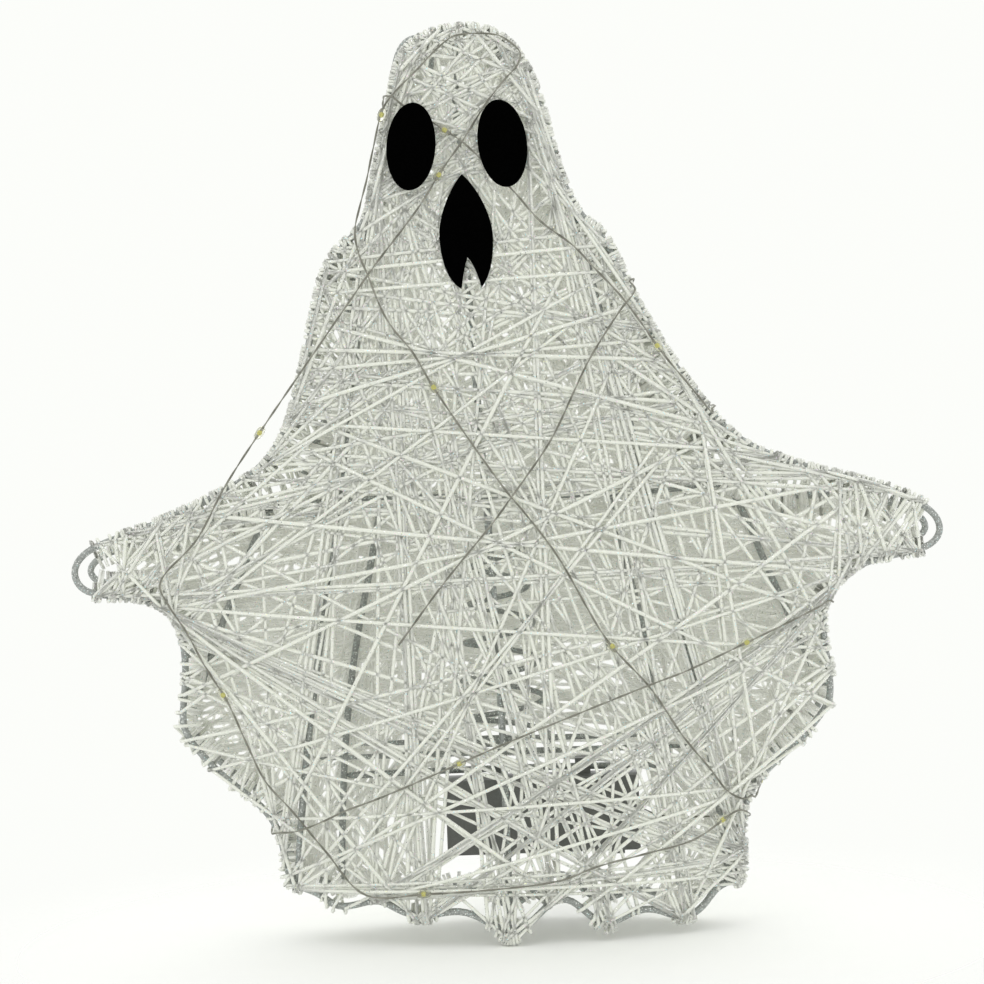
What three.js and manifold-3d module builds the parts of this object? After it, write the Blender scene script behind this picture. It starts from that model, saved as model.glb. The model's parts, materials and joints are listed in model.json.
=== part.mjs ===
// Wire ghost tree topper: two wire outlines held apart by rods, ribbed, wound with glitter yarn and lit by a
// micro light wire. Millimetres, +Z up, front towards -Y, origin at the middle of the hem.
import * as THREE from 'three';
import { mergeVertices } from 'three/addons/utils/BufferGeometryUtils.js';
import Module from 'manifold-3d';

const wasm = await Module();
wasm.setup();

// Clearance between pieces that touch
const gap = 0.3;

// Wire and yarn
const frameWire = { diameter: 2.4, sides: 6 };
const yarn = { diameter: 1.5, netSides: 4, windingSides: 5 };
const lightWire = { diameter: 0.9, sides: 8 };
const coilWire = { diameter: 2, sides: 5 };

// Width of the front outline, and its height above the hem; every sketch below is stretched to these
const size = { width: 282.5, height: 292.5 };

// Half depth of the body on its centre line, at four heights, and at the tips of the arms
const tipHalfDepth = 2;
const hem = { height: 0, halfDepth: 26 };
const chest = { height: 115, halfDepth: 29 };
const neck = { height: 220, halfDepth: 22 };
const crown = { height: size.height, halfDepth: 16 };

// Sketches, x and z seen from the front
const sketch = {
  // front outline, from the crown down the left side to the hem's centre point and up the right side
  headLeft: [[-8, 292.5], [-16, 290.8], [-22, 287.5], [-26, 281.5], [-28.8, 270], [-31.8, 258], [-34.8, 245],
    [-37.2, 234.5]],
  shoulderLeft: [[-41.5, 228], [-47, 223.5], [-51.8, 216], [-55.4, 204], [-60, 185], [-65.5, 167],
    [-73.5, 154.8], [-84, 148.5]],
  armLeft: [[-104, 139.5], [-121, 133.5], [-132, 130], [-137, 125.5], [-138, 121], [-136, 117], [-131, 114.5],
    [-118, 114], [-108, 110.5], [-103.5, 105]],
  skirtLeft: [[-101.5, 94], [-103, 80], [-105, 70], [-98.5, 61.5], [-90, 52.5], [-81, 46.5], [-74.5, 39],
    [-72.5, 30], [-71.5, 19]],
  hemEdge: [[-66, 17], [-61, 15.5], [-57, 11.5], [-51, 11.5], [-42, 15], [-36, 10.5], [-28, 8], [-18, 11],
    [-10, 9], [0, 1], [8, 7], [14, 13.5], [20, 13], [25.5, 7], [31, 3], [40, 8], [47, 8], [53, 4.5], [59, 4],
    [64, 8], [68, 14], [75, 14]],
  skirtRight: [[76, 27], [76.5, 38], [80, 46], [88, 53.5], [97, 60], [104, 68.5], [107, 73], [106, 83],
    [104, 95]],
  armRight: [[104.5, 104], [109, 111], [117, 117], [130, 119], [140, 120.5], [144, 124], [144.5, 128],
    [142, 132.5], [133, 138], [122, 142], [108, 146]],
  shoulderRight: [[94, 150.5], [81, 156], [72, 164], [63, 176], [54, 190], [45, 207], [40.5, 218], [36, 226],
    [30, 231]],
  headRight: [[24.4, 243], [21.2, 255], [18.2, 268], [14.2, 279], [8.5, 287.5], [1, 291.8]],

  // the back outline is drawn in along the shoulders and nests inside the front one at the arm tips
  backShoulderLeft: [[-43, 220], [-46, 208], [-50, 184], [-54, 174], [-62, 154], [-67, 144], [-74, 140],
    [-85, 138.5]],
  backArmLeft: [[-106, 134], [-122, 129.5], [-130.5, 126.5], [-134, 123.5], [-134.5, 121], [-133, 118.5],
    [-129.5, 117.2], [-117, 116.5], [-107, 112.5], [-102, 105]],
  backArmRight: [[103, 104.5], [107.5, 112.5], [117, 119.5], [130, 121.6], [138.5, 123], [141, 125.5],
    [141, 128], [139, 131], [131.5, 135], [119, 138]],
  backShoulderRight: [[96, 138], [85, 140], [75, 146], [68, 157], [62, 166], [51, 184], [42, 203],
    [35.5, 219]],

  // ribs, whose ends run into the wire that they are welded to
  centreRib: [[-8, 293.5], [-8.5, 270], [-7, 225], [-5, 180], [-2.5, 130], [-0.5, 70], [0, 0]],
  leftFrontRib: [[-37, 236], [-40, 215], [-45, 172], [-48, 150], [-53, 122], [-59, 90], [-65, 52], [-69, 14]],
  rightFrontRib: [[27, 236], [32, 215], [42, 172], [47, 150], [53, 122], [60, 90], [67, 52], [72, 12]],
  leftBackRib: [[-38, 142], [-44, 113], [-48, 96], [-51, 78], [-54, 50], [-56, 8]],
  rightBackRib: [[38, 142], [44, 113], [48, 96], [51, 78], [55, 50], [57, 0]],
  leftCornerRib: [[-74, 142], [-82, 127], [-87, 115], [-93, 101], [-99, 84], [-105, 68]],
  rightCornerRib: [[76, 146], [84, 130], [89, 116], [95, 102], [101, 86], [107.5, 71]],
  chestBrace: [[-76, 139], [-62, 141], [-40, 141.5], [0, 141], [40, 140.5], [60, 141.5], [80, 143]],
  crownLoop: [[-28.8, 269], [-28.3, 281], [-26.5, 288.5], [-22.5, 292.3], [-17.5, 291.5], [-15.5, 286],
    [-17, 278]],
};

// Half width at which the body has thinned to the tip's depth, at four heights
const thinning = [[0, 82], [15, 84], [67, 118], [113, 152]];

// Rods between the two outlines, each near the point given of the front one
const spacerAt = { crown: [0, 292], head_left: [-28.8, 270], neck_left: [-43, 227], neck_right: [33, 229],
  arm_left: [-104, 139.5], arm_right: [108, 146], corner_left: [-102, 87], corner_right: [105.5, 87],
  hem_left: [-72.5, 29], hem_right: [76, 29] };

// Yarn: a net of straight strands on each face, and passes over the shoulders
const net = { front: 17, back: 12, middle: [-2, 118], spread: 105, step: 19, shortest: 60, overhang: 1.2 };
const winding = { loops: 14, endMargin: 4, offset: 2.6 };

// Coil for the tip of the tree, and the height of the two bars that carry it
const coil = { turns: 5, stepsPerTurn: 16, height: 62, topRadius: 8.5, seatTurns: 1, seatPitch: 3 };
const coilBarHeight = 60;

// Face pieces: thin black sheet, with x and z of each centre
const sheet = 1.6;
const eye = { width: 15.6, height: 28, lean: 5.5, left: [-22.8, 254.3], right: [6, 254.3] };
const mouth = { width: 17, height: 36.5, lean: 2, at: [-6.5, 227] };

// Battery box, hung from a brace behind the hem; two small cells one above the other
const cell = { diameter: 10.5, length: 44.5, nubDiameter: 3.8, nubLength: 0.9, chamfer: 0.7, sides: 14 };
const box = { wall: 1.5, left: -20, top: 47, back: 26.7, boardBay: 9, partition: 1.2 };
const lip = { height: 1.2, thickness: 1 };
const contact = { plate: 0.4, plateSize: 8 };
const spring = { wire: 0.6, length: 5, turns: 4, diameter: 6, stepsPerTurn: 8, sides: 5 };
const cover = { thickness: 1.5, ridges: 5, ridgeWidth: 0.8, ridgePitch: 2, ridgeHeight: 0.5, ridgeMargin: 4 };
const slider = { knob: [5, 4, 1.6], stem: [2, 2], tab: [4, 4, 0.8], travel: 3, slotMargin: 1.6 };
const board = { thickness: 1, margin: 1.8 };
const lug = { width: 5, offset: 14, wall: 1.5 };
const braceHeight = 49.2;

// Micro lights: drops threaded on the wire, each slid along it, up to a limit, to where it touches nothing
const light = { diameter: 2.7, length: 5, bevel: 0.3, sides: 8, pitch: 100, first: 75, count: 17, slide: 14 };

// Route of the light wire from the battery box: stretches over the front and the back give x, z and how many
// others they lie over, where they cross any; the points round the edges give x, y and z
const lightRoute = [
  { points: [[50, 18, 33], [57, 11.5, 33], [72, 1, 34], [78.5, -4, 34.5], [80, -9.5, 35.5], [79.4, -14.2, 37],
    [76.5, -16.8, 38.5]] },
  { face: -1, run: [[71, 38.5], [59, 31], [42, 27], [28, 24], [16, 20], [-3, 18], [-25, 17], [-45, 17],
    [-57, 31], [-68, 45], [-75.7, 54], [-81.6, 67], [-87, 80], [-94, 92], [-99.5, 103], [-105, 112],
    [-107.5, 118], [-95, 132], [-85.5, 148.5], [-73.7, 165.5], [-57.5, 187.6], [-47.5, 201.2], [-36.4, 216.1],
    [-20.8, 235.5], [-13.4, 246.7], [-6.8, 255.4], [1.6, 267.9], [7, 274.4], [12, 280], [12.6, 283.5],
    [9, 287.2], [5.6, 289.2], [-7.8, 289.4], [-12.7, 286.3], [-20.6, 278.6], [-26.5, 273.1],
    [-31.2, 267.5, -0.4], [-34.8, 255.5, -1.2], [-37.6, 244, -1.2], [-39.8, 236, -0.5], [-41.5, 228.3],
    [-40.6, 221.5, 0.3], [-37.7, 214, 1], [-33.8, 203, 0.5], [-30.4, 196.8], [-24.6, 189.3], [-19.5, 179.9],
    [-9.9, 164.3], [3.6, 143.9], [9.7, 136.1], [18.7, 123.1], [33.4, 96.2], [46.3, 80.6], [56.2, 64.5],
    [64.7, 53.2], [70, 45.8], [75, 43]] },
  { points: [[79.6, -16.2, 42.8], [82.6, -12, 43.4], [84, 10, 45], [84.4, 15.5, 48.5], [80.5, 19.5, 55]] },
  { face: 1, run: [[70, 72], [54, 94], [68, 115], [88, 112], [100, 103]] },
  { points: [[104.8, 19.2, 105.2], [107.6, 15.8, 105.7], [109, -14.3, 106], [106.6, -18.9, 105.8]] },
  { face: -1, run: [[101, 104], [83, 96], [76, 93], [58, 85.5, 0.2], [45.5, 81.5, 1], [32, 76.4, 0.2],
    [-1, 64], [-18, 57], [-40, 48], [-50, 44.5, 0.3], [-57, 41.5, 1.6], [-65, 38.5, 1.6]] },
  { points: [[-74.5, -17.2, 36.5], [-77.3, -12.8, 36], [-77.6, 12.5, 37], [-75.4, 17, 40]] },
  { face: 1, run: [[-68, 56], [-64, 90], [-58, 120], [-50, 150], [-42, 180], [-37, 210], [-33, 240],
    [-29, 257]] },
  { points: [[-31.6, 21.6, 263.5], [-34.2, 17.5, 265.8], [-33.2, -16.5, 271], [-31.2, -21.6, 272]] },
  { face: -1, run: [[-28.4, 270.6, 1], [-25.5, 268.2, 0.1], [-22.5, 266], [-16.1, 262.2], [-11, 258.6, 0.4],
    [-6.8, 255.4, 1], [-2.3, 251.2], [8.9, 239.3], [17.1, 229.4], [27.3, 221.1], [33.4, 214.2], [41.5, 205],
    [47, 197.2], [54, 186.5], [62.5, 175.5], [69.5, 166.5]] },
  { points: [[74.5, -23.5, 167.5], [76, -17, 169.5], [69.5, 17, 168.5], [65.5, 24.5, 166]] },
  { face: 1, run: [[57, 161], [50, 166], [45, 178], [42.5, 192]] },
  { points: [[43, 26, 202], [46.2, 19.5, 207], [50.2, -15, 210.5], [48.8, -22, 210]] },
  { face: -1, run: [[46, 206.5, 1], [41, 200, 1], [31, 185], [18, 160], [9, 147.5, 0.2], [5, 142.3, 1],
    [-1, 134.5, 0.2], [-17, 116], [-32, 97]] },
];

const wireRadius = frameWire.diameter / 2;
const yarnRadius = yarn.diameter / 2;
const lightRadius = lightWire.diameter / 2;
const webOffset = wireRadius + gap + yarnRadius;
const lightOffset = webOffset + yarnRadius + gap + light.diameter / 2;
const layerStep = lightWire.diameter + 0.5;
const front = -1;
const back = 1;

// The sketches stretched to the overall size
const frontNames = ['headLeft', 'shoulderLeft', 'armLeft', 'skirtLeft', 'hemEdge', 'skirtRight', 'armRight',
  'shoulderRight', 'headRight'];
const backNames = ['headLeft', 'backShoulderLeft', 'backArmLeft', 'skirtLeft', 'hemEdge', 'skirtRight',
  'backArmRight', 'backShoulderRight', 'headRight'];
const sketched = frontNames.flatMap((name) => sketch[name]);
const sketchedWidth = Math.max(...sketched.map(([x]) => x)) - Math.min(...sketched.map(([x]) => x));
const scaleX = size.width / sketchedWidth;
const scaleZ = size.height / Math.max(...sketched.map(([, z]) => z));
const fit = (pairs) => pairs.map(([x, z, ...rest]) => [x * scaleX, z * scaleZ, ...rest]);
const shape = Object.fromEntries(Object.entries(sketch).map(([name, pairs]) => [name, fit(pairs)]));
const depths = [hem, chest, neck, crown].map((part) => [part.height, part.halfDepth]);
const thinWidths = thinning.map(([z, width]) => [z * scaleZ, width * scaleX]);

const finish = {
  frame: new THREE.MeshStandardMaterial({ color: 0x85888b, roughness: 0.45, metalness: 0.8 }),
  yarn: new THREE.MeshStandardMaterial({ color: 0xe2e4de, roughness: 0.7, metalness: 0 }),
  lightWire: new THREE.MeshStandardMaterial({ color: 0x77786f, roughness: 0.35, metalness: 0.9 }),
  drop: new THREE.MeshStandardMaterial({ color: 0xe0d878, roughness: 0.15, metalness: 0 }),
  face: new THREE.MeshStandardMaterial({ color: 0x050505, roughness: 0.8, metalness: 0 }),
  housing: new THREE.MeshStandardMaterial({ color: 0x1c1d1f, roughness: 0.55, metalness: 0 }),
  steel: new THREE.MeshStandardMaterial({ color: 0xb8bbbd, roughness: 0.3, metalness: 1 }),
  cell: new THREE.MeshStandardMaterial({ color: 0x2f4f7a, roughness: 0.4, metalness: 0.3 }),
  board: new THREE.MeshStandardMaterial({ color: 0x1f5a35, roughness: 0.6, metalness: 0 }),
};

const ghost = new THREE.Group();

function add(name, geometry, material) {
  const mesh = new THREE.Mesh(geometry, material);
  mesh.name = name;
  ghost.add(mesh);
  return mesh;
}

// Straight-line reading of a table of [position, value]
function readTable(table, at) {
  const last = table.length - 1;
  if (at <= table[0][0]) return table[0][1];
  if (at >= table[last][0]) return table[last][1];
  const k = table.findIndex(([position]) => position > at) - 1;
  const [fromAt, fromValue] = table[k];
  const [toAt, toValue] = table[k + 1];
  return fromValue + ((toValue - fromValue) * (at - fromAt)) / (toAt - fromAt);
}

// Half depth of the body at x and z: an arched section, deepest on the centre line and thin at the arm tips
function halfDepth(x, z) {
  const centre = readTable(depths, z);
  const share = x / readTable(thinWidths, z);
  return tipHalfDepth + (centre - tipHalfDepth) * Math.max(0, 1 - share * share);
}

// Point on the front or back face of the body, lifted off it by an offset along the face's normal
function onFace(x, z, face, offset = 0) {
  const probe = 0.5;
  const slopeX = (halfDepth(x + probe, z) - halfDepth(x - probe, z)) / (2 * probe);
  const slopeZ = (halfDepth(x, z + probe) - halfDepth(x, z - probe)) / (2 * probe);
  const normal = new THREE.Vector3(-slopeX, face, -slopeZ).normalize();
  return new THREE.Vector3(x, face * halfDepth(x, z), z).addScaledVector(normal, offset);
}

// Points of a smooth curve through x and z pairs, no further apart than a step
function smooth(pairs, step, closed = false) {
  const places = pairs.map(([x, z]) => new THREE.Vector3(x, 0, z));
  const curve = new THREE.CatmullRomCurve3(places, closed, 'centripetal');
  const spans = closed ? pairs.length : pairs.length - 1;
  const points = [];
  for (let k = 0; k < spans; k += 1) {
    const [fromX, fromZ] = pairs[k];
    const [toX, toZ] = pairs[(k + 1) % pairs.length];
    const parts = Math.max(1, Math.round(Math.hypot(toX - fromX, toZ - fromZ) / step));
    for (let i = 0; i < parts; i += 1) points.push(curve.getPoint((k + i / parts) / spans));
  }
  if (!closed) points.push(curve.getPoint(1));
  return points.map(({ x, z }) => [x, z]);
}

// Round wire along points: one ring of vertices at each, turned with the wire and mitred at each bend
function wireGeometry(points, radius, sides, closed = false) {
  const mitreLimit = 1.7;
  const count = points.length;
  const rings = [];
  let across = null;
  const place = points.map((point, i) => {
    const before = points[closed ? (i + count - 1) % count : Math.max(i - 1, 0)];
    const after = points[closed ? (i + 1) % count : Math.min(i + 1, count - 1)];
    const inward = point.clone().sub(before).normalize();
    const outward = after.clone().sub(point).normalize();
    const along = inward.clone().add(outward).normalize();
    const bend = outward.clone().sub(inward);
    const bent = bend.length() > 1e-6 && inward.length() > 0 && outward.length() > 0;
    const stretch = bent ? 1 / Math.max(inward.dot(along), 1 / mitreLimit) : 1;
    across = across ?? new THREE.Vector3(0, 1, 0).cross(along);
    if (across.lengthSq() < 1e-6) across.set(1, 0, 0);
    across = across.clone().addScaledVector(along, -across.dot(along)).normalize();
    return { point, along, across, bend: bend.normalize(), stretch };
  });
  let twist = 0;
  if (closed) {
    const start = place[0];
    const arrived = across.clone().addScaledVector(start.along, -across.dot(start.along)).normalize();
    twist = Math.atan2(start.along.dot(arrived.clone().cross(start.across)), arrived.dot(start.across));
  }
  place.forEach((ring, i) => {
    const turned = ring.across.clone().applyAxisAngle(ring.along, (twist * i) / count);
    const side = ring.along.clone().cross(turned);
    for (let k = 0; k < sides; k += 1) {
      const angle = (2 * Math.PI * (k + 0.5)) / sides;
      const spoke = turned.clone().multiplyScalar(Math.cos(angle)).addScaledVector(side, Math.sin(angle));
      spoke.addScaledVector(ring.bend, spoke.dot(ring.bend) * (ring.stretch - 1));
      rings.push(ring.point.clone().addScaledVector(spoke, radius));
    }
  });
  const faces = [];
  const spans = closed ? count : count - 1;
  for (let i = 0; i < spans; i += 1) {
    const next = (i + 1) % count;
    for (let k = 0; k < sides; k += 1) {
      const turn = (k + 1) % sides;
      faces.push(i * sides + k, i * sides + turn, next * sides + turn);
      faces.push(i * sides + k, next * sides + turn, next * sides + k);
    }
  }
  for (let k = 1; k < sides - 1 && !closed; k += 1) {
    const end = (count - 1) * sides;
    faces.push(0, k + 1, k, end, end + k, end + k + 1);
  }
  const geometry = new THREE.BufferGeometry();
  geometry.setAttribute('position', new THREE.Float32BufferAttribute(rings.flatMap((v) => v.toArray()), 3));
  geometry.setIndex(faces);
  return geometry;
}

// Solid for cutting and joining
function toSolid(geometry) {
  const bare = geometry.clone();
  bare.deleteAttribute('normal');
  bare.deleteAttribute('uv');
  const merged = mergeVertices(bare, 1e-4);
  const vertProperties = new Float32Array(merged.attributes.position.array);
  const triVerts = new Uint32Array(merged.index.array);
  return new wasm.Manifold(new wasm.Mesh({ numProp: 3, vertProperties, triVerts }));
}

function toGeometry(solid) {
  const mesh = solid.getMesh();
  const geometry = new THREE.BufferGeometry();
  geometry.setAttribute('position', new THREE.BufferAttribute(new Float32Array(mesh.vertProperties), 3));
  geometry.setIndex(new THREE.BufferAttribute(new Uint32Array(mesh.triVerts), 1));
  return geometry;
}

function toPoints(profile) {
  return profile.map(([radius, along]) => new THREE.Vector2(radius, along));
}

function largest(solid) {
  return solid.decompose().sort((a, b) => b.volume() - a.volume())[0];
}

// The two outlines
const outlineStep = 10;
const ribStep = 16;
const loopStep = 6;
const frontPairs = smooth(frontNames.flatMap((name) => shape[name]), outlineStep, true);
const backPairs = smooth(backNames.flatMap((name) => shape[name]), outlineStep, true);
const frontLoop = frontPairs.map(([x, z]) => onFace(x, z, front));
const backLoop = backPairs.map(([x, z]) => onFace(x, z, back));
add('front_outline_wire', wireGeometry(frontLoop, wireRadius, frameWire.sides, true), finish.frame);
add('back_outline_wire', wireGeometry(backLoop, wireRadius, frameWire.sides, true), finish.frame);

// What a neighbour is cut back by, so that it ends a gap away from the wire
const seatRadius = wireRadius + gap / Math.cos(Math.PI / frameWire.sides);
const frontSeat = toSolid(wireGeometry(frontLoop, seatRadius, frameWire.sides, true));
const backSeat = toSolid(wireGeometry(backLoop, seatRadius, frameWire.sides, true));

function addRib(name, pairs, face, seats) {
  const points = smooth(pairs, ribStep).map(([x, z]) => onFace(x, z, face));
  let solid = toSolid(wireGeometry(points, wireRadius, frameWire.sides));
  for (const seat of seats) solid = solid.subtract(seat);
  add(name, toGeometry(largest(solid)), finish.frame);
  return toSolid(wireGeometry(points, seatRadius, frameWire.sides));
}

addRib('front_centre_rib', shape.centreRib, front, [frontSeat]);
addRib('left_front_rib', shape.leftFrontRib, front, [frontSeat]);
addRib('right_front_rib', shape.rightFrontRib, front, [frontSeat]);
const braceSeat = addRib('chest_brace', shape.chestBrace, back, [backSeat]);
const backRibSeats = [
  addRib('left_back_rib', shape.leftBackRib, back, [backSeat, braceSeat]),
  addRib('right_back_rib', shape.rightBackRib, back, [backSeat, braceSeat]),
];
addRib('left_corner_rib', shape.leftCornerRib, back, [backSeat, frontSeat, braceSeat]);
addRib('right_corner_rib', shape.rightCornerRib, back, [backSeat, frontSeat, braceSeat]);

// Rods between the outlines, from the point of each that is nearest to where the rod stands
function nearest(loop, [x, z]) {
  const away = (point) => Math.hypot(point.x - x, point.z - z);
  return loop.reduce((best, point) => (away(point) < away(best) ? point : best));
}

const spacerSeats = {};
for (const [place, drawnAt] of Object.entries(spacerAt)) {
  const [at] = fit([drawnAt]);
  const ends = [nearest(frontLoop, at), nearest(backLoop, at)];
  const rod = toSolid(wireGeometry(ends, wireRadius, frameWire.sides));
  add(`${place}_spacer`, toGeometry(largest(rod.subtract(frontSeat).subtract(backSeat))), finish.frame);
  spacerSeats[place] = toSolid(wireGeometry(ends, seatRadius, frameWire.sides));
}

// Small U of wire at the top left of the head, standing on the spacer there
const crownPoints = smooth(shape.crownLoop, loopStep).map(([x, z]) => new THREE.Vector3(x, 0, z));
const crownWire = toSolid(wireGeometry(crownPoints, wireRadius, frameWire.sides));
add('crown_loop', toGeometry(largest(crownWire.subtract(spacerSeats.head_left))), finish.frame);

// Face pieces lie on the light wire where it passes behind them, and the mouth lies on the yarn
function leafGeometry(outline, drawnAt, lean, offset) {
  const [[x, z]] = fit([drawnAt]);
  const seat = onFace(x, z, front, offset);
  const normal = onFace(x, z, front, offset + 1).sub(seat);
  const piece = new THREE.ExtrudeGeometry(outline, { depth: sheet, bevelEnabled: false, curveSegments: 14 });
  piece.rotateZ(THREE.MathUtils.degToRad(lean));
  const sideways = new THREE.Vector3(0, 0, 1).cross(normal).normalize();
  const turn = new THREE.Matrix4().makeBasis(sideways, normal.clone().cross(sideways), normal);
  return piece.applyMatrix4(turn.setPosition(seat));
}

const eyeShape = new THREE.Shape();
eyeShape.absellipse(0, 0, eye.width / 2, eye.height / 2, 0, 2 * Math.PI);
const sheetOffset = lightOffset + lightRadius + gap;
add('left_eye', leafGeometry(eyeShape, eye.left, -eye.lean, sheetOffset), finish.face);
add('right_eye', leafGeometry(eyeShape, eye.right, eye.lean, sheetOffset), finish.face);

// Mouth: a leaf with a pointed top and a notch that leaves two lobes below
const half = mouth.width / 2;
const tall = mouth.height / 2;
const mouthShape = new THREE.Shape();
mouthShape.moveTo(0, tall);
mouthShape.bezierCurveTo(half * 0.55, tall * 0.75, half, tall * 0.25, half, -tall * 0.08);
mouthShape.bezierCurveTo(half, -tall * 0.5, half * 0.8, -tall * 0.8, half * 0.45, -tall);
mouthShape.quadraticCurveTo(half * 0.3, -tall * 0.65, 0, -tall * 0.45);
mouthShape.quadraticCurveTo(-half * 0.2, -tall * 0.7, -half * 0.3, -tall);
mouthShape.bezierCurveTo(-half * 0.8, -tall * 0.85, -half, -tall * 0.5, -half, -tall * 0.08);
mouthShape.bezierCurveTo(-half, tall * 0.25, -half * 0.55, tall * 0.75, 0, tall);
add('mouth', leafGeometry(mouthShape, mouth.at, mouth.lean, webOffset + yarnRadius + gap), finish.face);

// Longest stretch of a straight line over the body, from edge to edge, as distances along the line
function stretchOver(pairs, [x, z], [alongX, alongZ]) {
  const edges = [];
  pairs.forEach(([fromX, fromZ], i) => {
    const [toX, toZ] = pairs[(i + 1) % pairs.length];
    const turn = alongX * (toZ - fromZ) - alongZ * (toX - fromX);
    const part = (alongZ * (fromX - x) - alongX * (fromZ - z)) / turn;
    if (part < 0 || part >= 1) return;
    const crossX = fromX + (toX - fromX) * part;
    const crossZ = fromZ + (toZ - fromZ) * part;
    edges.push((crossX - x) * alongX + (crossZ - z) * alongZ);
  });
  edges.sort((a, b) => a - b);
  let best = [0, 0];
  for (let k = 0; k + 1 < edges.length; k += 2) {
    if (edges[k + 1] - edges[k] > best[1] - best[0]) best = [edges[k], edges[k + 1]];
  }
  return best;
}

// Net of yarn on one face: each strand lies on the wires and has its own direction and its own distance from
// the middle of the body, both spread evenly over all strands, and strands are fused where they cross
function yarnNet(pairs, face, strands) {
  const evenTurn = 0.7549;
  const evenShift = 0.5698;
  const [[middleX, middleZ]] = fit([net.middle]);
  const solids = [];
  for (let k = 0; k < strands; k += 1) {
    const angle = Math.PI * ((k * evenTurn) % 1);
    const shift = net.spread * (2 * ((k * evenShift) % 1) - 1);
    const along = [Math.cos(angle), Math.sin(angle)];
    const start = [middleX - along[1] * shift, middleZ + along[0] * shift];
    const [from, to] = stretchOver(pairs, start, along);
    if (to - from < net.shortest) continue;
    const steps = Math.ceil((to - from) / net.step);
    const points = Array.from({ length: steps + 1 }, (_, i) => {
      const run = from - net.overhang + ((to - from + 2 * net.overhang) * i) / steps;
      return onFace(start[0] + along[0] * run, start[1] + along[1] * run, face, webOffset);
    });
    solids.push(toSolid(wireGeometry(points, yarnRadius, yarn.netSides)));
  }
  return wasm.Manifold.union(solids);
}

// Passes of yarn over a shoulder, from one outline to the other and back, as one unbroken strand
function shoulderWinding(frontRun, backRun, outward) {
  const curves = [[frontRun, front], [backRun, back]].map(([run, face]) => {
    const places = run.map(([x, z]) => onFace(x, z, face));
    return new THREE.CatmullRomCurve3(places, false, 'centripetal');
  });
  const passes = 2 * winding.loops;
  const points = [];
  for (let k = 0; k < passes; k += 1) {
    const share = (winding.endMargin + k) / (passes + 2 * winding.endMargin);
    const ends = curves.map((curve) => {
      const along = curve.getTangentAt(share);
      const outside = new THREE.Vector3(along.z, 0, -along.x).normalize();
      return curve.getPointAt(share).addScaledVector(outside, outward * winding.offset);
    });
    if (k % 2 === 1) ends.reverse();
    points.push(...ends);
  }
  return points;
}

// Least distance between stretches of a strand that are well apart along it, less its thickness
function leastSelfGap(points, thickness) {
  const sampleStep = 2;
  const apart = 6 * thickness;
  const runs = points.map(() => 0);
  for (let i = 1; i < points.length; i += 1) runs[i] = runs[i - 1] + points[i].distanceTo(points[i - 1]);
  const samples = [];
  for (let i = 0; i < points.length - 1; i += 1) {
    const parts = Math.max(1, Math.ceil(points[i].distanceTo(points[i + 1]) / sampleStep));
    for (let k = 0; k < parts; k += 1) {
      const at = points[i].clone().lerp(points[i + 1], k / parts);
      samples.push({ at, run: runs[i] + ((runs[i + 1] - runs[i]) * k) / parts });
    }
  }
  let least = Infinity;
  for (let i = 0; i < samples.length; i += 1) {
    for (let j = i + 1; j < samples.length; j += 1) {
      if (samples[j].run - samples[i].run < apart) continue;
      least = Math.min(least, samples[i].at.distanceTo(samples[j].at));
    }
  }
  return least - thickness;
}

function addWinding(name, frontRun, backRun, outward) {
  const points = shoulderWinding(frontRun, backRun, outward);
  console.log(name, 'least gap', leastSelfGap(points, yarn.diameter).toFixed(2), 'mm');
  add(name, wireGeometry(points, yarnRadius, yarn.windingSides), finish.yarn);
}

add('front_yarn_web', toGeometry(largest(yarnNet(frontPairs, front, net.front))), finish.yarn);
const downRight = ['shoulderRight', 'backShoulderRight'].map((name) => shape[name].toReversed());
addWinding('left_shoulder_winding', shape.shoulderLeft, shape.backShoulderLeft, 1);
addWinding('right_shoulder_winding', ...downRight, -1);

// Bars for the coil rest on the inner side of the ribs, at the depth of the shallower one of each pair
const ribX = (pairs, height) => readTable(pairs.map(([x, z]) => [-z, x]), -height);
function addCoilBar(name, pair, face) {
  const ends = pair.map((run) => ribX(run, coilBarHeight));
  const reach = Math.min(...ends.map((x) => halfDepth(x, coilBarHeight))) - frameWire.diameter - gap;
  const points = ends.map((x) => new THREE.Vector3(x, face * reach, coilBarHeight));
  add(name, wireGeometry(points, wireRadius, frameWire.sides), finish.frame);
  return face * reach;
}

const frontBarY = addCoilBar('front_coil_bar', [shape.leftFrontRib, shape.rightFrontRib], front);
const backBarY = addCoilBar('back_coil_bar', [shape.leftBackRib, shape.rightBackRib], back);

// Tapered coil, open from below for the tip of the tree; its lowest turn lies between the bars
const coilRadius = coilWire.diameter / 2;
const baseRadius = (backBarY - frontBarY) / 2 - wireRadius - gap - coilRadius;
const coilY = (backBarY + frontBarY) / 2;
const coilSteps = (coil.seatTurns + coil.turns) * coil.stepsPerTurn;
const coilPoints = Array.from({ length: coilSteps + 1 }, (_, k) => {
  const turned = k / coil.stepsPerTurn;
  const seated = Math.min(turned, coil.seatTurns);
  const share = (turned - seated) / coil.turns;
  const angle = 2 * Math.PI * turned;
  const radius = baseRadius + (coil.topRadius - baseRadius) * share;
  const rise = coilBarHeight + coil.seatPitch * seated + coil.height * share;
  return new THREE.Vector3(radius * Math.cos(angle), coilY + radius * Math.sin(angle), rise);
});
console.log('tree_coil least gap', leastSelfGap(coilPoints, coilWire.diameter).toFixed(2), 'mm');
add('tree_coil', wireGeometry(coilPoints, coilRadius, coilWire.sides), finish.frame);

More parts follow.
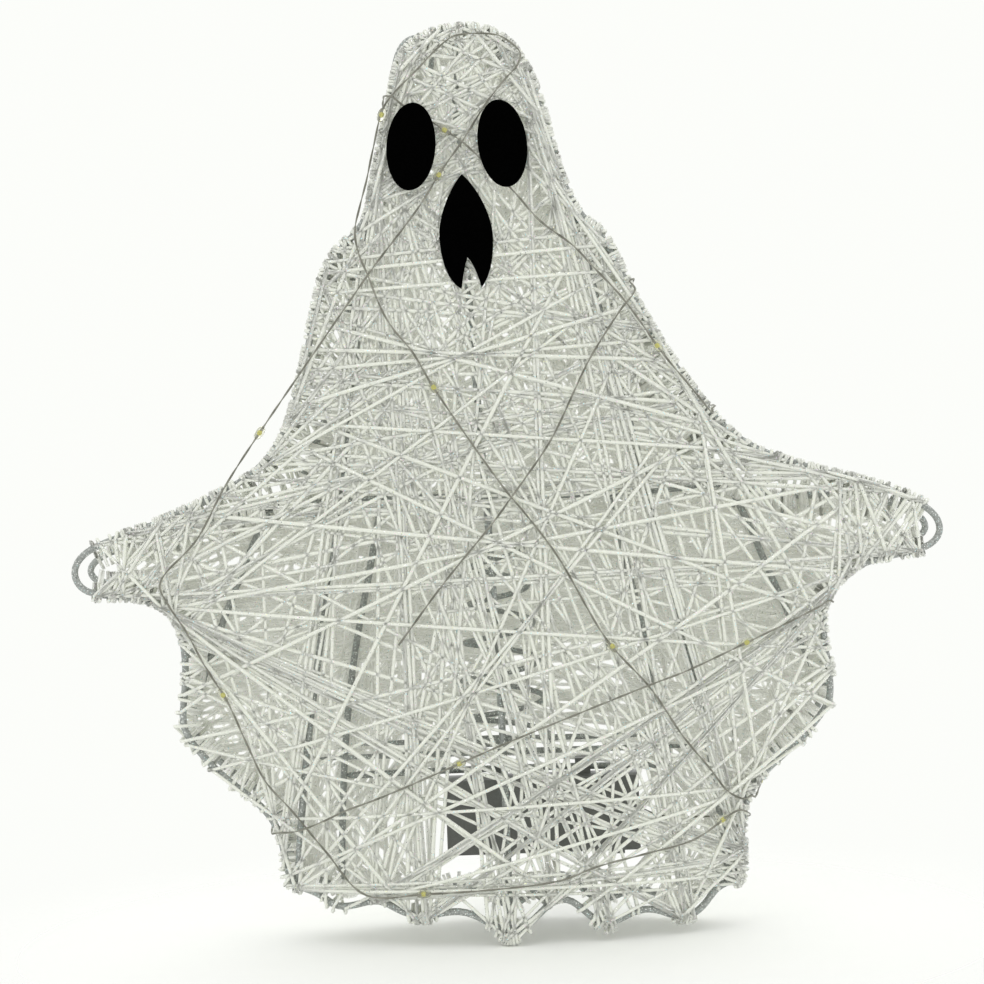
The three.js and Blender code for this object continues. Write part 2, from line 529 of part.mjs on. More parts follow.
// Battery box: where each of its walls stands
const cellRadius = cell.diameter / 2;
const bay = {
  left: box.left + box.wall,
  length: spring.length + cell.length + contact.plate + 4 * gap,
  front: box.back - cell.diameter - 2 * gap,
  top: box.top - box.wall,
  bottom: box.top - box.wall - 2 * cell.diameter - 3 * gap,
};
bay.right = bay.left + bay.length;
const boardLeft = bay.right + box.partition;
const boardRight = boardLeft + box.boardBay;
const boxRight = boardRight + box.wall;
const boxBottom = bay.bottom - box.wall;
const coverFront = box.back + gap;
const coverBack = coverFront + cover.thickness;
const lipFront = coverBack + gap;
const lipBack = lipFront + lip.thickness;
const boxMiddle = (box.left + boxRight) / 2;

// How far a cut reaches past what it opens
const past = 1;

const across = (middle, width) => [middle - width / 2, middle + width / 2];

function block([left, right], [near, far], [low, high]) {
  return new THREE.BoxGeometry(right - left, far - near, high - low)
    .translate((left + right) / 2, (near + far) / 2, (low + high) / 2);
}

// Brace from one back rib to the other
const braceStart = ribX(shape.leftBackRib, braceHeight) - frameWire.diameter;
const braceEnd = ribX(shape.rightBackRib, braceHeight) + frameWire.diameter;
const batteryBrace = [[braceStart, braceHeight], [braceEnd, braceHeight]];
const batteryBraceSeat = addRib('battery_brace', batteryBrace, back, backRibSeats);

// Lugs round the brace, on the top wall of the box
const lugReach = seatRadius + lug.wall;
const lugBlocks = (spare) => [-1, 1].map((side) => {
  const x = boxMiddle + side * lug.offset;
  const { y } = onFace(x, braceHeight, back);
  const reach = lugReach + spare;
  const heights = [bay.top + box.wall / 2, braceHeight + reach];
  return toSolid(block(across(x, lug.width + 2 * spare), across(y, 2 * reach), heights));
});

// Slot for the switch, through the bottom wall under the board
const [stemLength, stemWidth] = slider.stem;
const [knobLength, knobWidth, knobHeight] = slider.knob;
const [tabLength, tabWidth, tabHeight] = slider.tab;
const slotLeft = boardLeft + slider.slotMargin;
const slotRight = slotLeft + stemLength + slider.travel + 2 * gap;
const slotY = (bay.front + box.back) / 2;
const wireExit = new THREE.Vector3(boxRight, slotY, (bay.top + bay.bottom) / 2);
const holeRadius = lightRadius + gap;
const wireHole = new THREE.CylinderGeometry(holeRadius, holeRadius, 2 * (box.wall + past), lightWire.sides)
  .rotateZ(Math.PI / 2).translate(...wireExit.toArray());

const lipOpening = [bay.bottom + lip.height, bay.top - lip.height];
const boxCuts = [
  block([bay.left, bay.right], [bay.front, box.back], [bay.bottom, bay.top]),
  block([boardLeft, boardRight], [bay.front, box.back], [bay.bottom, bay.top]),
  block([bay.left, boxRight + past], [box.back, lipFront], [bay.bottom, bay.top]),
  block([bay.left, boxRight + past], [lipFront, lipBack + past], lipOpening),
  block([slotLeft, slotRight], across(slotY, stemWidth + 2 * gap), [boxBottom - past, bay.bottom + past]),
  wireHole,
];
let boxSolid = toSolid(block([box.left, boxRight], [bay.front - box.wall, lipBack], [boxBottom, box.top]));
boxSolid = wasm.Manifold.union([boxSolid, ...lugBlocks(0)]);
for (const cut of boxCuts) boxSolid = boxSolid.subtract(toSolid(cut));
add('battery_case', toGeometry(boxSolid.subtract(batteryBraceSeat)), finish.housing);

// Cover: slides out to the right under the lips, with ridges for a thumb
const ridgeLow = bay.bottom + lip.height + gap + cover.ridgePitch;
const ridgeHigh = bay.top - lip.height - gap - cover.ridgePitch;
const ridges = Array.from({ length: cover.ridges }, (_, k) => {
  const right = boxRight - cover.ridgeMargin - k * cover.ridgePitch;
  return toSolid(block([right - cover.ridgeWidth, right], [coverFront + gap, coverBack + cover.ridgeHeight],
    [ridgeLow, ridgeHigh]));
});
const lid = block([bay.left + gap, boxRight], [coverFront, coverBack], [bay.bottom + gap, bay.top - gap]);
add('battery_cover', toGeometry(wasm.Manifold.union([toSolid(lid), ...ridges])), finish.housing);

// Switch: knob below the wall, stem through the slot, tab above the wall
const stemX = slotLeft + gap + stemLength / 2;
const knobTop = boxBottom - gap;
const tabLow = bay.bottom + gap;
const stemEnds = [knobTop - knobHeight / 2, tabLow + tabHeight / 2];
const switchBlocks = [
  block(across(stemX, knobLength), across(slotY, knobWidth), [knobTop - knobHeight, knobTop]),
  block(across(stemX, stemLength), across(slotY, stemWidth), stemEnds),
  block(across(stemX, tabLength), across(slotY, tabWidth), [tabLow, tabLow + tabHeight]),
];
add('switch_slider', toGeometry(wasm.Manifold.union(switchBlocks.map(toSolid))), finish.housing);

// Board against the partition
const boardFace = boardLeft + gap + board.thickness;
add('circuit_board', block([boardLeft + gap, boardFace], [bay.front + gap, box.back - 2 * gap],
  [bay.bottom + board.margin, bay.top - board.margin]), finish.board);

// Cells lie head to tail, each between a spring and a plate
const cellShoulder = cell.length - cell.nubLength;
const nubRadius = cell.nubDiameter / 2;
const cellProfile = [[0, 0], [cellRadius - cell.chamfer, 0], [cellRadius, cell.chamfer],
  [cellRadius, cellShoulder - cell.chamfer], [cellRadius - cell.chamfer, cellShoulder],
  [nubRadius, cellShoulder], [nubRadius, cell.length], [0, cell.length]];
const cellGeometry = new THREE.LatheGeometry(toPoints(cellProfile), cell.sides);
const cellY = bay.front + gap + cellRadius;
const cellPlaces = [
  { name: 'lower', z: bay.bottom + gap + cellRadius, from: bay.left + gap, heads: 1 },
  { name: 'upper', z: bay.top - gap - cellRadius, from: bay.right - gap, heads: -1 },
];
const springRadius = (spring.diameter - spring.wire) / 2;
const springSteps = spring.turns * spring.stepsPerTurn;
for (const { name, z, from, heads } of cellPlaces) {
  const at = (run) => from + heads * run;
  const springPoints = Array.from({ length: springSteps + 1 }, (_, k) => {
    const angle = (2 * Math.PI * k) / spring.stepsPerTurn;
    const run = spring.wire / 2 + ((spring.length - spring.wire) * k) / springSteps;
    const y = cellY + springRadius * Math.cos(angle);
    return new THREE.Vector3(at(run), y, z + springRadius * Math.sin(angle));
  });
  add(`${name}_contact_spring`, wireGeometry(springPoints, spring.wire / 2, spring.sides), finish.steel);
  const cellStart = spring.length + gap;
  add(`${name}_cell`, cellGeometry.clone().rotateZ((-heads * Math.PI) / 2)
    .translate(at(cellStart), cellY, z), finish.cell);
  const plateMiddle = cellStart + cell.length + gap + contact.plate / 2;
  add(`${name}_contact_plate`, block(across(at(plateMiddle), contact.plate), across(cellY, contact.plateSize),
    across(z, contact.plateSize)), finish.steel);
}
const springGap = (spring.length - spring.wire) / spring.turns - spring.wire;
console.log('contact springs least gap', springGap.toFixed(2), 'mm');

// Net on the back ends at the brace and leaves the lugs and what is below them free
const belowBrace = toSolid(block([-size.width, size.width], [0, size.width],
  [-size.height, braceHeight - yarn.diameter]));
let backNet = yarnNet(backPairs, back, net.back).subtract(belowBrace);
for (const lugBlock of lugBlocks(gap)) backNet = backNet.subtract(lugBlock);
add('back_yarn_web', toGeometry(largest(backNet)), finish.yarn);

// Light wire from the board out of the box and over the body
const lightPoints = [new THREE.Vector3(boardFace + gap, wireExit.y, wireExit.z),
  wireExit.clone().add(new THREE.Vector3(box.wall, 0, 0))];
const roundEdge = ([x, y, z]) => new THREE.Vector3(x * scaleX, y, z * scaleZ);
for (const { points, face, run } of lightRoute) {
  const overFace = ([x, z, level = 0]) => onFace(x, z, face, lightOffset + level * layerStep);
  lightPoints.push(...(points ? points.map(roundEdge) : fit(run).map(overFace)));
}
add('light_wire', wireGeometry(lightPoints, lightRadius, lightWire.sides), finish.lightWire);

// Drops: a bead on the wire, let out by a spare where its clearance is tested
function beadSolid(run, spare) {
  const bore = lightRadius + gap;
  const widest = light.diameter / 2 + spare;
  const end = light.length / 2 + spare;
  const narrow = widest - light.bevel;
  const profile = [[bore, -end], [narrow, -end], [widest, 0], [narrow, end], [bore, end], [bore, -end]];
  const i = lightRuns.findLastIndex((start) => start <= run);
  const along = lightPoints[i + 1].clone().sub(lightPoints[i]).normalize();
  const middle = lightPoints[i].clone().addScaledVector(along, run - lightRuns[i]);
  const turn = new THREE.Quaternion().setFromUnitVectors(new THREE.Vector3(0, 1, 0), along);
  const bead = new THREE.LatheGeometry(toPoints(profile), light.sides);
  return toSolid(bead.applyQuaternion(turn).translate(...middle.toArray()));
}

const lightRuns = [0];
lightPoints.forEach((point, i) => {
  if (i > 0) lightRuns.push(lightRuns[i - 1] + point.distanceTo(lightPoints[i - 1]));
});
console.log('light wire length', lightRuns.at(-1).toFixed(0), 'mm');
const neighbours = wasm.Manifold.union(ghost.children.map((mesh) => toSolid(mesh.geometry)));
const slides = Array.from({ length: 2 * light.slide + 1 }, (_, k) => (k % 2 ? (k + 1) / 2 : -k / 2));
for (let k = 0; k < light.count; k += 1) {
  const target = light.first + k * light.pitch;
  const slide = slides.find((shift) => beadSolid(target + shift, gap).intersect(neighbours).isEmpty());
  add(`light_drop_${k + 1}`, toGeometry(beadSolid(target + (slide ?? 0), 0)), finish.drop);
}

export default ghost;
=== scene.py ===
import json
import math
from itertools import accumulate

import bmesh
import bpy
import numpy as np
from mathutils import Matrix, Vector


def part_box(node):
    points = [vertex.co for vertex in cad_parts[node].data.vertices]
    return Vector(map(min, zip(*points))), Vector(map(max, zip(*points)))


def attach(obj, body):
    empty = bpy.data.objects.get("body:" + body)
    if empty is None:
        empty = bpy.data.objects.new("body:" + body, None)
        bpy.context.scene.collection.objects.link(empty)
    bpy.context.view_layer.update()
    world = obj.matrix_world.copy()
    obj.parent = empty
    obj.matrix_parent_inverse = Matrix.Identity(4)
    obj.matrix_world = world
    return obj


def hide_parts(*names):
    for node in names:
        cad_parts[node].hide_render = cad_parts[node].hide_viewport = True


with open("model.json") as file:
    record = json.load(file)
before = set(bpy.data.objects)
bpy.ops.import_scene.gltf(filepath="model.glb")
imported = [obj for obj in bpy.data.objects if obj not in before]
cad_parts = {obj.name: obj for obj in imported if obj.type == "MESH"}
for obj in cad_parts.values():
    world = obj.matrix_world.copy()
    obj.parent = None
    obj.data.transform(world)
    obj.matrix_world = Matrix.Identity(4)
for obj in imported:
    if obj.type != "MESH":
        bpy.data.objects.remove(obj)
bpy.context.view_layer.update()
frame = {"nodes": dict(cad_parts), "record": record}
rng = np.random.default_rng(31)
mm = 0.001
front = -1
back = 1

# Camera: level with the chest, a little above it, and rolled as the ghost leans in the picture

camera = {
    "aim": (-1.1, 0.0, 143.3),  # mm, what stands in the middle of the picture
    "distance": 1000.0,  # mm
    "elevation": 2.0,  # degrees
    "roll": 2.0,  # degrees
    "focalPixels": 3058.0,  # focal length in pixels of the 984 pixel image
    "imagePixels": 984.0,
    "sensor": 36.0,
}


def addObject(name, data):
    obj = bpy.data.objects.new(name, data)
    bpy.context.scene.collection.objects.link(obj)
    return obj


def makeCamera(c):
    # the axes of the view: away from the subject by the elevation, and right and up turned by the roll
    data = bpy.data.cameras.new("camera")
    data.sensor_width = c["sensor"]
    data.lens = c["sensor"] * c["focalPixels"] / c["imagePixels"]
    data.clip_start = 0.05
    data.clip_end = 50.0
    obj = addObject("camera", data)
    elevation = math.radians(c["elevation"])
    away = Vector((0.0, -math.cos(elevation), math.sin(elevation)))
    right = Vector((1.0, 0.0, 0.0))
    up = away.cross(right)
    roll = math.radians(c["roll"])
    rolledRight = right * math.cos(roll) - up * math.sin(roll)
    rolledUp = up * math.cos(roll) + right * math.sin(roll)
    turn = Matrix((rolledRight, rolledUp, away)).transposed().to_4x4()
    place = Vector(c["aim"]) * mm + away * c["distance"] * mm
    obj.matrix_world = Matrix.Translation(place) @ turn
    bpy.context.scene.camera = obj


makeCamera(camera)
print("camera placed")

# Body surface, as the frame's wires follow it

body = {
    "heights": [0.0, 115.0, 220.0, 292.5],  # mm, and the half depth on the centre line at each
    "halfDepths": [26.0, 29.0, 22.0, 16.0],
    "tipHalfDepth": 2.0,
    "thinHeights": [0.0, 15.0, 67.0, 113.0],  # mm, and the half width at which the body is at its thinnest
    "thinWidths": [82.0, 84.0, 118.0, 152.0],
    "wireRadius": 1.2,
}

# Outlines, x and z in mm, from the crown down the left side to the hem and up the right side; the back one
# only where it isn't the same as the front one
frontPlaces = {
    "headLeft": [(-8, 292.5), (-16, 290.8), (-22, 287.5), (-26, 281.5), (-28.8, 270), (-31.8, 258),
        (-34.8, 245), (-37.2, 234.5)],
    "shoulderLeft": [(-41.5, 228), (-47, 223.5), (-51.8, 216), (-55.4, 204), (-60, 185), (-65.5, 167),
        (-73.5, 154.8), (-84, 148.5)],
    "armLeft": [(-104, 139.5), (-121, 133.5), (-132, 130), (-137, 125.5), (-138, 121), (-136, 117),
        (-131, 114.5), (-118, 114), (-108, 110.5), (-103.5, 105)],
    "skirtLeft": [(-101.5, 94), (-103, 80), (-105, 70), (-98.5, 61.5), (-90, 52.5), (-81, 46.5),
        (-74.5, 39), (-72.5, 30), (-71.5, 19)],
    "hemEdge": [(-66, 17), (-61, 15.5), (-57, 11.5), (-51, 11.5), (-42, 15), (-36, 10.5), (-28, 8),
        (-18, 11), (-10, 9), (0, 1), (8, 7), (14, 13.5), (20, 13), (25.5, 7), (31, 3), (40, 8), (47, 8),
        (53, 4.5), (59, 4), (64, 8), (68, 14), (75, 14)],
    "skirtRight": [(76, 27), (76.5, 38), (80, 46), (88, 53.5), (97, 60), (104, 68.5), (107, 73), (106, 83),
        (104, 95)],
    "armRight": [(104.5, 104), (109, 111), (117, 117), (130, 119), (140, 120.5), (144, 124), (144.5, 128),
        (142, 132.5), (133, 138), (122, 142), (108, 146)],
    "shoulderRight": [(94, 150.5), (81, 156), (72, 164), (63, 176), (54, 190), (45, 207), (40.5, 218),
        (36, 226), (30, 231)],
    "headRight": [(24.4, 243), (21.2, 255), (18.2, 268), (14.2, 279), (8.5, 287.5), (1, 291.8)],
}
backPlaces = {
    "shoulderLeft": [(-43, 220), (-46, 208), (-50, 184), (-54, 174), (-62, 154), (-67, 144), (-74, 140),
        (-85, 138.5)],
    "armLeft": [(-106, 134), (-122, 129.5), (-130.5, 126.5), (-134, 123.5), (-134.5, 121),
        (-133, 118.5), (-129.5, 117.2), (-117, 116.5), (-107, 112.5), (-102, 105)],
    "armRight": [(103, 104.5), (107.5, 112.5), (117, 119.5), (130, 121.6), (138.5, 123), (141, 125.5),
        (141, 128), (139, 131), (131.5, 135), (119, 138)],
    "shoulderRight": [(96, 138), (85, 140), (75, 146), (68, 157), (62, 166), (51, 184), (42, 203),
        (35.5, 219)],
}


def unit(vectors):
    # each vector over its own length
    return vectors / np.linalg.norm(vectors, axis=-1, keepdims=True)


def halfDepth(x, z):
    # an arched section: full depth on the centre line, falling with the square of x to that of the tips
    centre = np.interp(z, body["heights"], body["halfDepths"])
    share = x / np.interp(z, body["thinHeights"], body["thinWidths"])
    return body["tipHalfDepth"] + (centre - body["tipHalfDepth"]) * np.maximum(0.0, 1.0 - share ** 2)


def faceNormal(x, z, face):
    # across both slopes of the surface, which are taken over one millimetre
    step = 0.5
    slopeX = (halfDepth(x + step, z) - halfDepth(x - step, z)) / (2 * step)
    slopeZ = (halfDepth(x, z + step) - halfDepth(x, z - step)) / (2 * step)
    return unit(np.stack([-slopeX, np.full_like(slopeX, face), -slopeZ], -1))


def onFace(x, z, face, offset):
    # the point of the surface at x and z, moved along the surface's normal by the offset
    surface = np.stack([x, face * halfDepth(x, z), z], -1)
    return surface + faceNormal(x, z, face) * np.asarray(offset)[..., None]


def runAlong(points):
    # the length of a path, or of each of many, up to each of its points
    steps = np.linalg.norm(np.diff(points, axis=-2), axis=-1)
    return np.insert(np.cumsum(steps, -1), 0, 0.0, axis=-1)


def smoothCurve(places, step, closed):
    # points at an even pitch along a centripetal curve through the places
    p = np.array(places, float)
    if closed:
        before, start, end, beyond = np.roll(p, 1, 0), p, np.roll(p, -1, 0), np.roll(p, -2, 0)
    else:
        whole = np.vstack([2 * p[0] - p[1], p, 2 * p[-1] - p[-2]])
        before, start, end, beyond = whole[:-3], whole[1:-2], whole[2:-1], whole[3:]
    pairs = (start - before, end - start, beyond - end)
    ta, tb, tc = accumulate(np.linalg.norm(pair, axis=1)[:, None] ** 0.5 for pair in pairs)
    t = (ta + (tb - ta) * np.linspace(0, 1, 12, endpoint=False)[None, :])[..., None]
    p0, p1, p2, p3 = (q[:, None, :] for q in (before, start, end, beyond))
    ta, tb, tc = (q[:, None, :] for q in (ta, tb, tc))

    def blend(first, second, low, high):
        return first * (high - t) / (high - low) + second * (t - low) / (high - low)

    a1, a2, a3 = blend(p0, p1, 0.0, ta), blend(p1, p2, ta, tb), blend(p2, p3, tb, tc)
    dense = blend(blend(a1, a2, 0.0, tb), blend(a2, a3, ta, tc), ta, tb).reshape(-1, p.shape[1])
    dense = np.vstack([dense, dense[:1] if closed else p[-1:]])
    run = runAlong(dense)
    at = np.linspace(0, run[-1], int(run[-1] / step), endpoint=not closed)
    return np.stack([np.interp(at, run, dense[:, k]) for k in range(p.shape[1])], -1)


def makeEdge(stretches):
    # an outline with a point to each millimetre, and its direction and its outward side at each
    points = smoothCurve(sum(stretches.values(), []), 1.0, True)
    along = unit(np.roll(points, -3, 0) - np.roll(points, 3, 0))
    outward = np.stack([along[:, 1], -along[:, 0]], -1)
    return {"points": points, "along": along, "outward": outward}


frontEdge = makeEdge(frontPlaces)
backEdge = makeEdge({**frontPlaces, **backPlaces})
print("outlines", len(frontEdge["points"]), "and", len(backEdge["points"]), "mm round")

# Shader pieces shared by the finishes


def newMaterial(name, **sockets):
    material = bpy.data.materials.new(name)
    material.use_nodes = True
    shader = material.node_tree.nodes["Principled BSDF"]
    for socket, value in sockets.items():
        shader.inputs[socket.replace("_", " ")].default_value = value
    return material, material.node_tree, shader


def addNode(tree, kind, inputs=(), **settings):
    # a shader node with its settings, and its inputs given by name as a value or another node's socket
    node = tree.nodes.new("ShaderNode" + kind)
    for key, value in settings.items():
        setattr(node, key, value)
    for name, value in dict(inputs).items():
        if isinstance(value, bpy.types.NodeSocket):
            tree.links.new(value, node.inputs[name])
        else:
            node.inputs[name].default_value = value
    return node


def calc(tree, operation, *values):
    return addNode(tree, "Math", dict(enumerate(values)), operation=operation).outputs[0]


def objectPlace(tree):
    return addNode(tree, "TexCoord").outputs["Object"]


def mottle(tree, scale, detail):
    inputs = {"Vector": objectPlace(tree), "Scale": scale, "Detail": detail}
    return addNode(tree, "TexNoise", inputs).outputs["Fac"]


def ramp(tree, source, stops):
    node = addNode(tree, "ValToRGB", {"Fac": source})
    while len(node.color_ramp.elements) < len(stops):
        node.color_ramp.elements.new(0.5)
    for element, (place, colour) in zip(node.color_ramp.elements, stops):
        element.position = place
        element.color = (*colour, 1.0)
    return node.outputs["Color"]


def paint(tree, shader, share, plain, other):
    # the base colour: the other one where the share is one, and the plain one where it is nought
    node = addNode(tree, "Mix", {"Factor": share}, data_type="RGBA")
    tree.links.new(plain, node.inputs["A"])
    tree.links.new(other, node.inputs["B"])
    tree.links.new(node.outputs["Result"], shader.inputs["Base Color"])


def addBump(tree, shader, strength, depth, height):
    bump = addNode(tree, "Bump", {"Strength": strength, "Distance": depth * mm, "Height": height})
    tree.links.new(bump.outputs["Normal"], shader.inputs["Normal"])


def roughen(tree, shader, source, low, high):
    # roughness from low to high as the source goes from nought to one
    rough = addNode(tree, "MapRange", {"Value": source, "To Min": low, "To Max": high})
    tree.links.new(rough.outputs["Result"], shader.inputs["Roughness"])


flakeReach = 0.42  # of a cell, from its middle to the edge of its flake


def flakes(tree, f, seed):
    # glitter: cells of one size, of which a share is flakes; gives the mask, the flakes' colour, a random
    # value and the distance from a cell's middle
    shift = (seed, seed * 0.7, seed * 1.3)
    moved = addNode(tree, "Mapping", {"Vector": objectPlace(tree), "Location": shift})
    scale = 1.0 / (f["flakeSize"] * mm)
    cells = addNode(tree, "TexVoronoi", {"Vector": moved.outputs["Vector"], "Scale": scale})
    parts = addNode(tree, "SeparateColor", {"Color": cells.outputs["Color"]})
    near = calc(tree, "LESS_THAN", cells.outputs["Distance"], flakeReach)
    chosen = calc(tree, "LESS_THAN", parts.outputs["Red"], f["flakeShare"])
    hue = ramp(tree, parts.outputs["Green"], f["flakeHues"])
    return calc(tree, "MULTIPLY", near, chosen), hue, parts.outputs["Blue"], cells.outputs["Distance"]


# Yarn: off-white, two-ply, with fine bright and tinted glitter

yarnFinish = {
    "flakeSize": 0.42,  # mm
    "flakeShare": 0.17,
    "flakeHues": [(0.0, (1.0, 1.0, 1.0)), (0.45, (1.0, 1.0, 1.0)), (0.55, (0.55, 0.92, 0.98)),
        (0.70, (0.98, 0.72, 0.90)), (0.80, (0.93, 0.95, 0.62)), (0.9, (0.22, 0.25, 0.26))],
    "roughness": 0.75,
    "flakeRoughness": 0.2,
    "flakeMetal": 0.9,
    "plyPitch": 2.4,  # mm along the strand for a whole turn of the ply
    "plyHeight": 0.35,  # of the ply in the bump, beside the fibres' own
    "bump": (0.55, 0.25),  # strength, and depth in mm
    "fuzz": 0.3,
    "glow": 0.8,  # share of the light that passes into the fibres
    "glowDepth": 1.6,  # mm
    "paintedGlowColour": (0.99, 1.0, 0.90),  # colour of the painted glow, an emission that stands in for light the fibres pass on from within the body
}

# The colour of the front and back yarn and their darker places, and a painted glow: emission that stands in
# for light the fibres pass on. The back yarn is the same yarn painted lighter than the front, as painted
# light that makes up for the shade inside the body
faceFinishes = {
    "glitterYarn": {"base": (0.76, 0.775, 0.70), "shade": (0.66, 0.675, 0.61), "paintedGlow": 0.02},
    "glitterYarnBackPaintedLight": {"base": (0.95, 0.96, 0.90), "shade": (0.88, 0.89, 0.83), "paintedGlow": 0.075},
}


def makeYarnMaterial(name, f, own):
    # the emission is a painted glow, in place of light passed on through the fibres
    material, tree, shader = newMaterial(
        name, Specular_IOR_Level=0.3, Sheen_Weight=f["fuzz"], Sheen_Roughness=0.5,
        Subsurface_Weight=f["glow"], Subsurface_Radius=[f["glowDepth"] * mm] * 3, Subsurface_Scale=1.0,
        Emission_Color=(*f["paintedGlowColour"], 1.0), Emission_Strength=own["paintedGlow"])
    tint = addNode(tree, "Attribute", attribute_name="strandTint").outputs["Fac"]
    cloud = mottle(tree, 900.0, 3.0)
    plain = ramp(tree, calc(tree, "MULTIPLY", cloud, tint), [(0.10, own["shade"]), (0.42, own["base"])])
    mask, hue, _, _ = flakes(tree, f, 0.0)
    paint(tree, shader, mask, plain, hue)
    tree.links.new(calc(tree, "MULTIPLY", mask, f["flakeMetal"]), shader.inputs["Metallic"])
    roughen(tree, shader, mask, f["roughness"], f["flakeRoughness"])
    strand = addNode(tree, "UVMap", uv_map="strand").outputs["UV"]
    split = addNode(tree, "SeparateXYZ", {"Vector": strand})
    turns = calc(tree, "MULTIPLY", split.outputs["X"], 2 * math.pi / f["plyPitch"])
    around = calc(tree, "MULTIPLY", split.outputs["Y"], 4 * math.pi)
    ply = calc(tree, "SINE", calc(tree, "ADD", turns, around))
    addBump(tree, shader, *f["bump"], calc(tree, "MULTIPLY_ADD", ply, f["plyHeight"], cloud))
    return material


# the back yarn's lighter colour and stronger glow are painted light, standing in for light that the shaded
# inside of the body lacks
yarnMaterial, backYarnPaintedLightMaterial = (makeYarnMaterial(name, yarnFinish, faceFinishes[name])
    for name in faceFinishes)

# Wire: silver-grey, coated with coarse glitter

wireFinish = {
    "base": (0.40, 0.42, 0.405),
    "shade": 0.7,  # of the base, in its darkest places
    "flakeSize": 0.5,  # mm
    "flakeShare": 0.6,
    "flakeHues": [(0.0, (0.15, 0.16, 0.155)), (0.25, (0.45, 0.47, 0.455)), (0.55, (0.70, 0.72, 0.70)),
        (0.84, (0.95, 0.97, 0.95)), (0.94, (0.50, 0.66, 0.66))],
    "roughness": (0.3, 0.7),
    "bump": (0.8, 0.2),  # strength, and depth in mm
}


def makeWireMaterial(f):
    material, tree, shader = newMaterial("glitterWire", Metallic=0.25)
    mask, hue, chance, distance = flakes(tree, f, 3.1)
    shade = [f["shade"] * part for part in f["base"]]
    plain = ramp(tree, chance, [(0.0, f["base"]), (1.0, shade)])
    paint(tree, shader, mask, plain, hue)
    roughen(tree, shader, chance, *f["roughness"])
    addBump(tree, shader, *f["bump"], distance)
    return material


wireMaterial = makeWireMaterial(wireFinish)


def makeMottled(name, base, other, scale, roughness, metallic=0.0, bumpDepth=0.02, **sockets):
    # a plain finish with a fine mottle in its colour and roughness and a shallow bump
    material, tree, shader = newMaterial(name, Metallic=metallic, **sockets)
    cloud = mottle(tree, scale, 4.0)
    tree.links.new(ramp(tree, cloud, [(0.3, base), (0.7, other)]), shader.inputs["Base Color"])
    roughen(tree, shader, cloud, roughness * 0.85, min(1.0, roughness * 1.15))
    addBump(tree, shader, 0.4, bumpDepth, cloud)
    return material


faceMaterial = makeMottled("blackSheet", (0.0004, 0.0004, 0.0004), (0.001, 0.001, 0.001), 1500.0, 0.95,
                           Specular_IOR_Level=0.0)
housingMaterial = makeMottled("blackHousing", (0.15, 0.155, 0.15), (0.185, 0.19, 0.185), 2600.0, 0.5,
                              bumpDepth=0.05)
steelMaterial = makeMottled("contactSteel", (0.62, 0.63, 0.64), (0.72, 0.73, 0.74), 1800.0, 0.28, 1.0)
jacketMaterial = makeMottled("cellJacket", (0.05, 0.11, 0.22), (0.06, 0.13, 0.25), 500.0, 0.35, 0.2)
boardMaterial = makeMottled("boardMask", (0.02, 0.13, 0.05), (0.03, 0.16, 0.07), 700.0, 0.4)
lightWireMaterial = makeMottled("lightWire", (0.17, 0.17, 0.14), (0.34, 0.335, 0.29), 260.0, 0.32, 0.6)
resinMaterial = makeMottled("clearResin", (0.93, 0.93, 0.80), (0.97, 0.97, 0.90), 900.0, 0.08,
                            Transmission_Weight=0.9, IOR=1.45)
chipMaterial = makeMottled("lampChip", (0.62, 0.58, 0.06), (0.78, 0.74, 0.12), 1600.0, 0.4)
print("finishes made")

# Helpers that build pieces


def makePiece(name, points, faces, material, replaced, smooth=True):
    mesh = bpy.data.meshes.new(name)
    mesh.from_pydata(points.reshape(-1, 3), [], faces)
    mesh.materials.append(material)
    mesh.polygons.foreach_set("use_smooth", np.full(len(mesh.polygons), smooth))
    mesh.update()
    return addPiece(name, mesh, "ghost", replaced)


def addPiece(name, mesh, bodyName, replaced):
    obj = addObject(name, mesh)
    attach(obj, bodyName)
    if replaced:
        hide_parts(*replaced)
    return obj


def gridFaces(rings, rows, sides):
    # quads between neighbouring rows of each of many tubes, and a cap at either end of each tube
    ring = np.arange(sides)
    base = (np.arange(rings)[:, None, None] * rows + np.arange(rows - 1)[None, :, None]) * sides
    quads = np.stack([base + ring, base + (ring + 1) % sides, base + sides + (ring + 1) % sides,
                      base + sides + ring], -1).reshape(-1, 4)
    first = (np.arange(rings) * rows * sides)[:, None]
    caps = np.concatenate([first + ring[::-1], first + (rows - 1) * sides + ring])
    return quads.tolist() + caps.tolist()


def ringAngles(sides):
    return 2 * np.pi * np.arange(sides) / sides


def spokes(across, upward, angle):
    # directions round a path: across with the cosine of the angle and upward with its sine
    return across * np.cos(angle)[:, None] + upward * np.sin(angle)[:, None]


def sweepStrands(centres, across, radius, sides):
    # tubes along many paths of as many points each: at every point a ring, square to the path
    strands, count, _ = centres.shape
    along = unit(np.gradient(centres, axis=1))
    across = np.broadcast_to(across, along.shape)
    across = unit(across - along * np.sum(along * across, -1, keepdims=True))
    upward = np.cross(along, across)
    angle = ringAngles(sides)
    size = np.asarray(radius, float).reshape(-1, 1, 1, 1)
    points = centres[:, :, None] + spokes(across[:, :, None], upward[:, :, None], angle) * size
    return points, gridFaces(strands, count, sides)


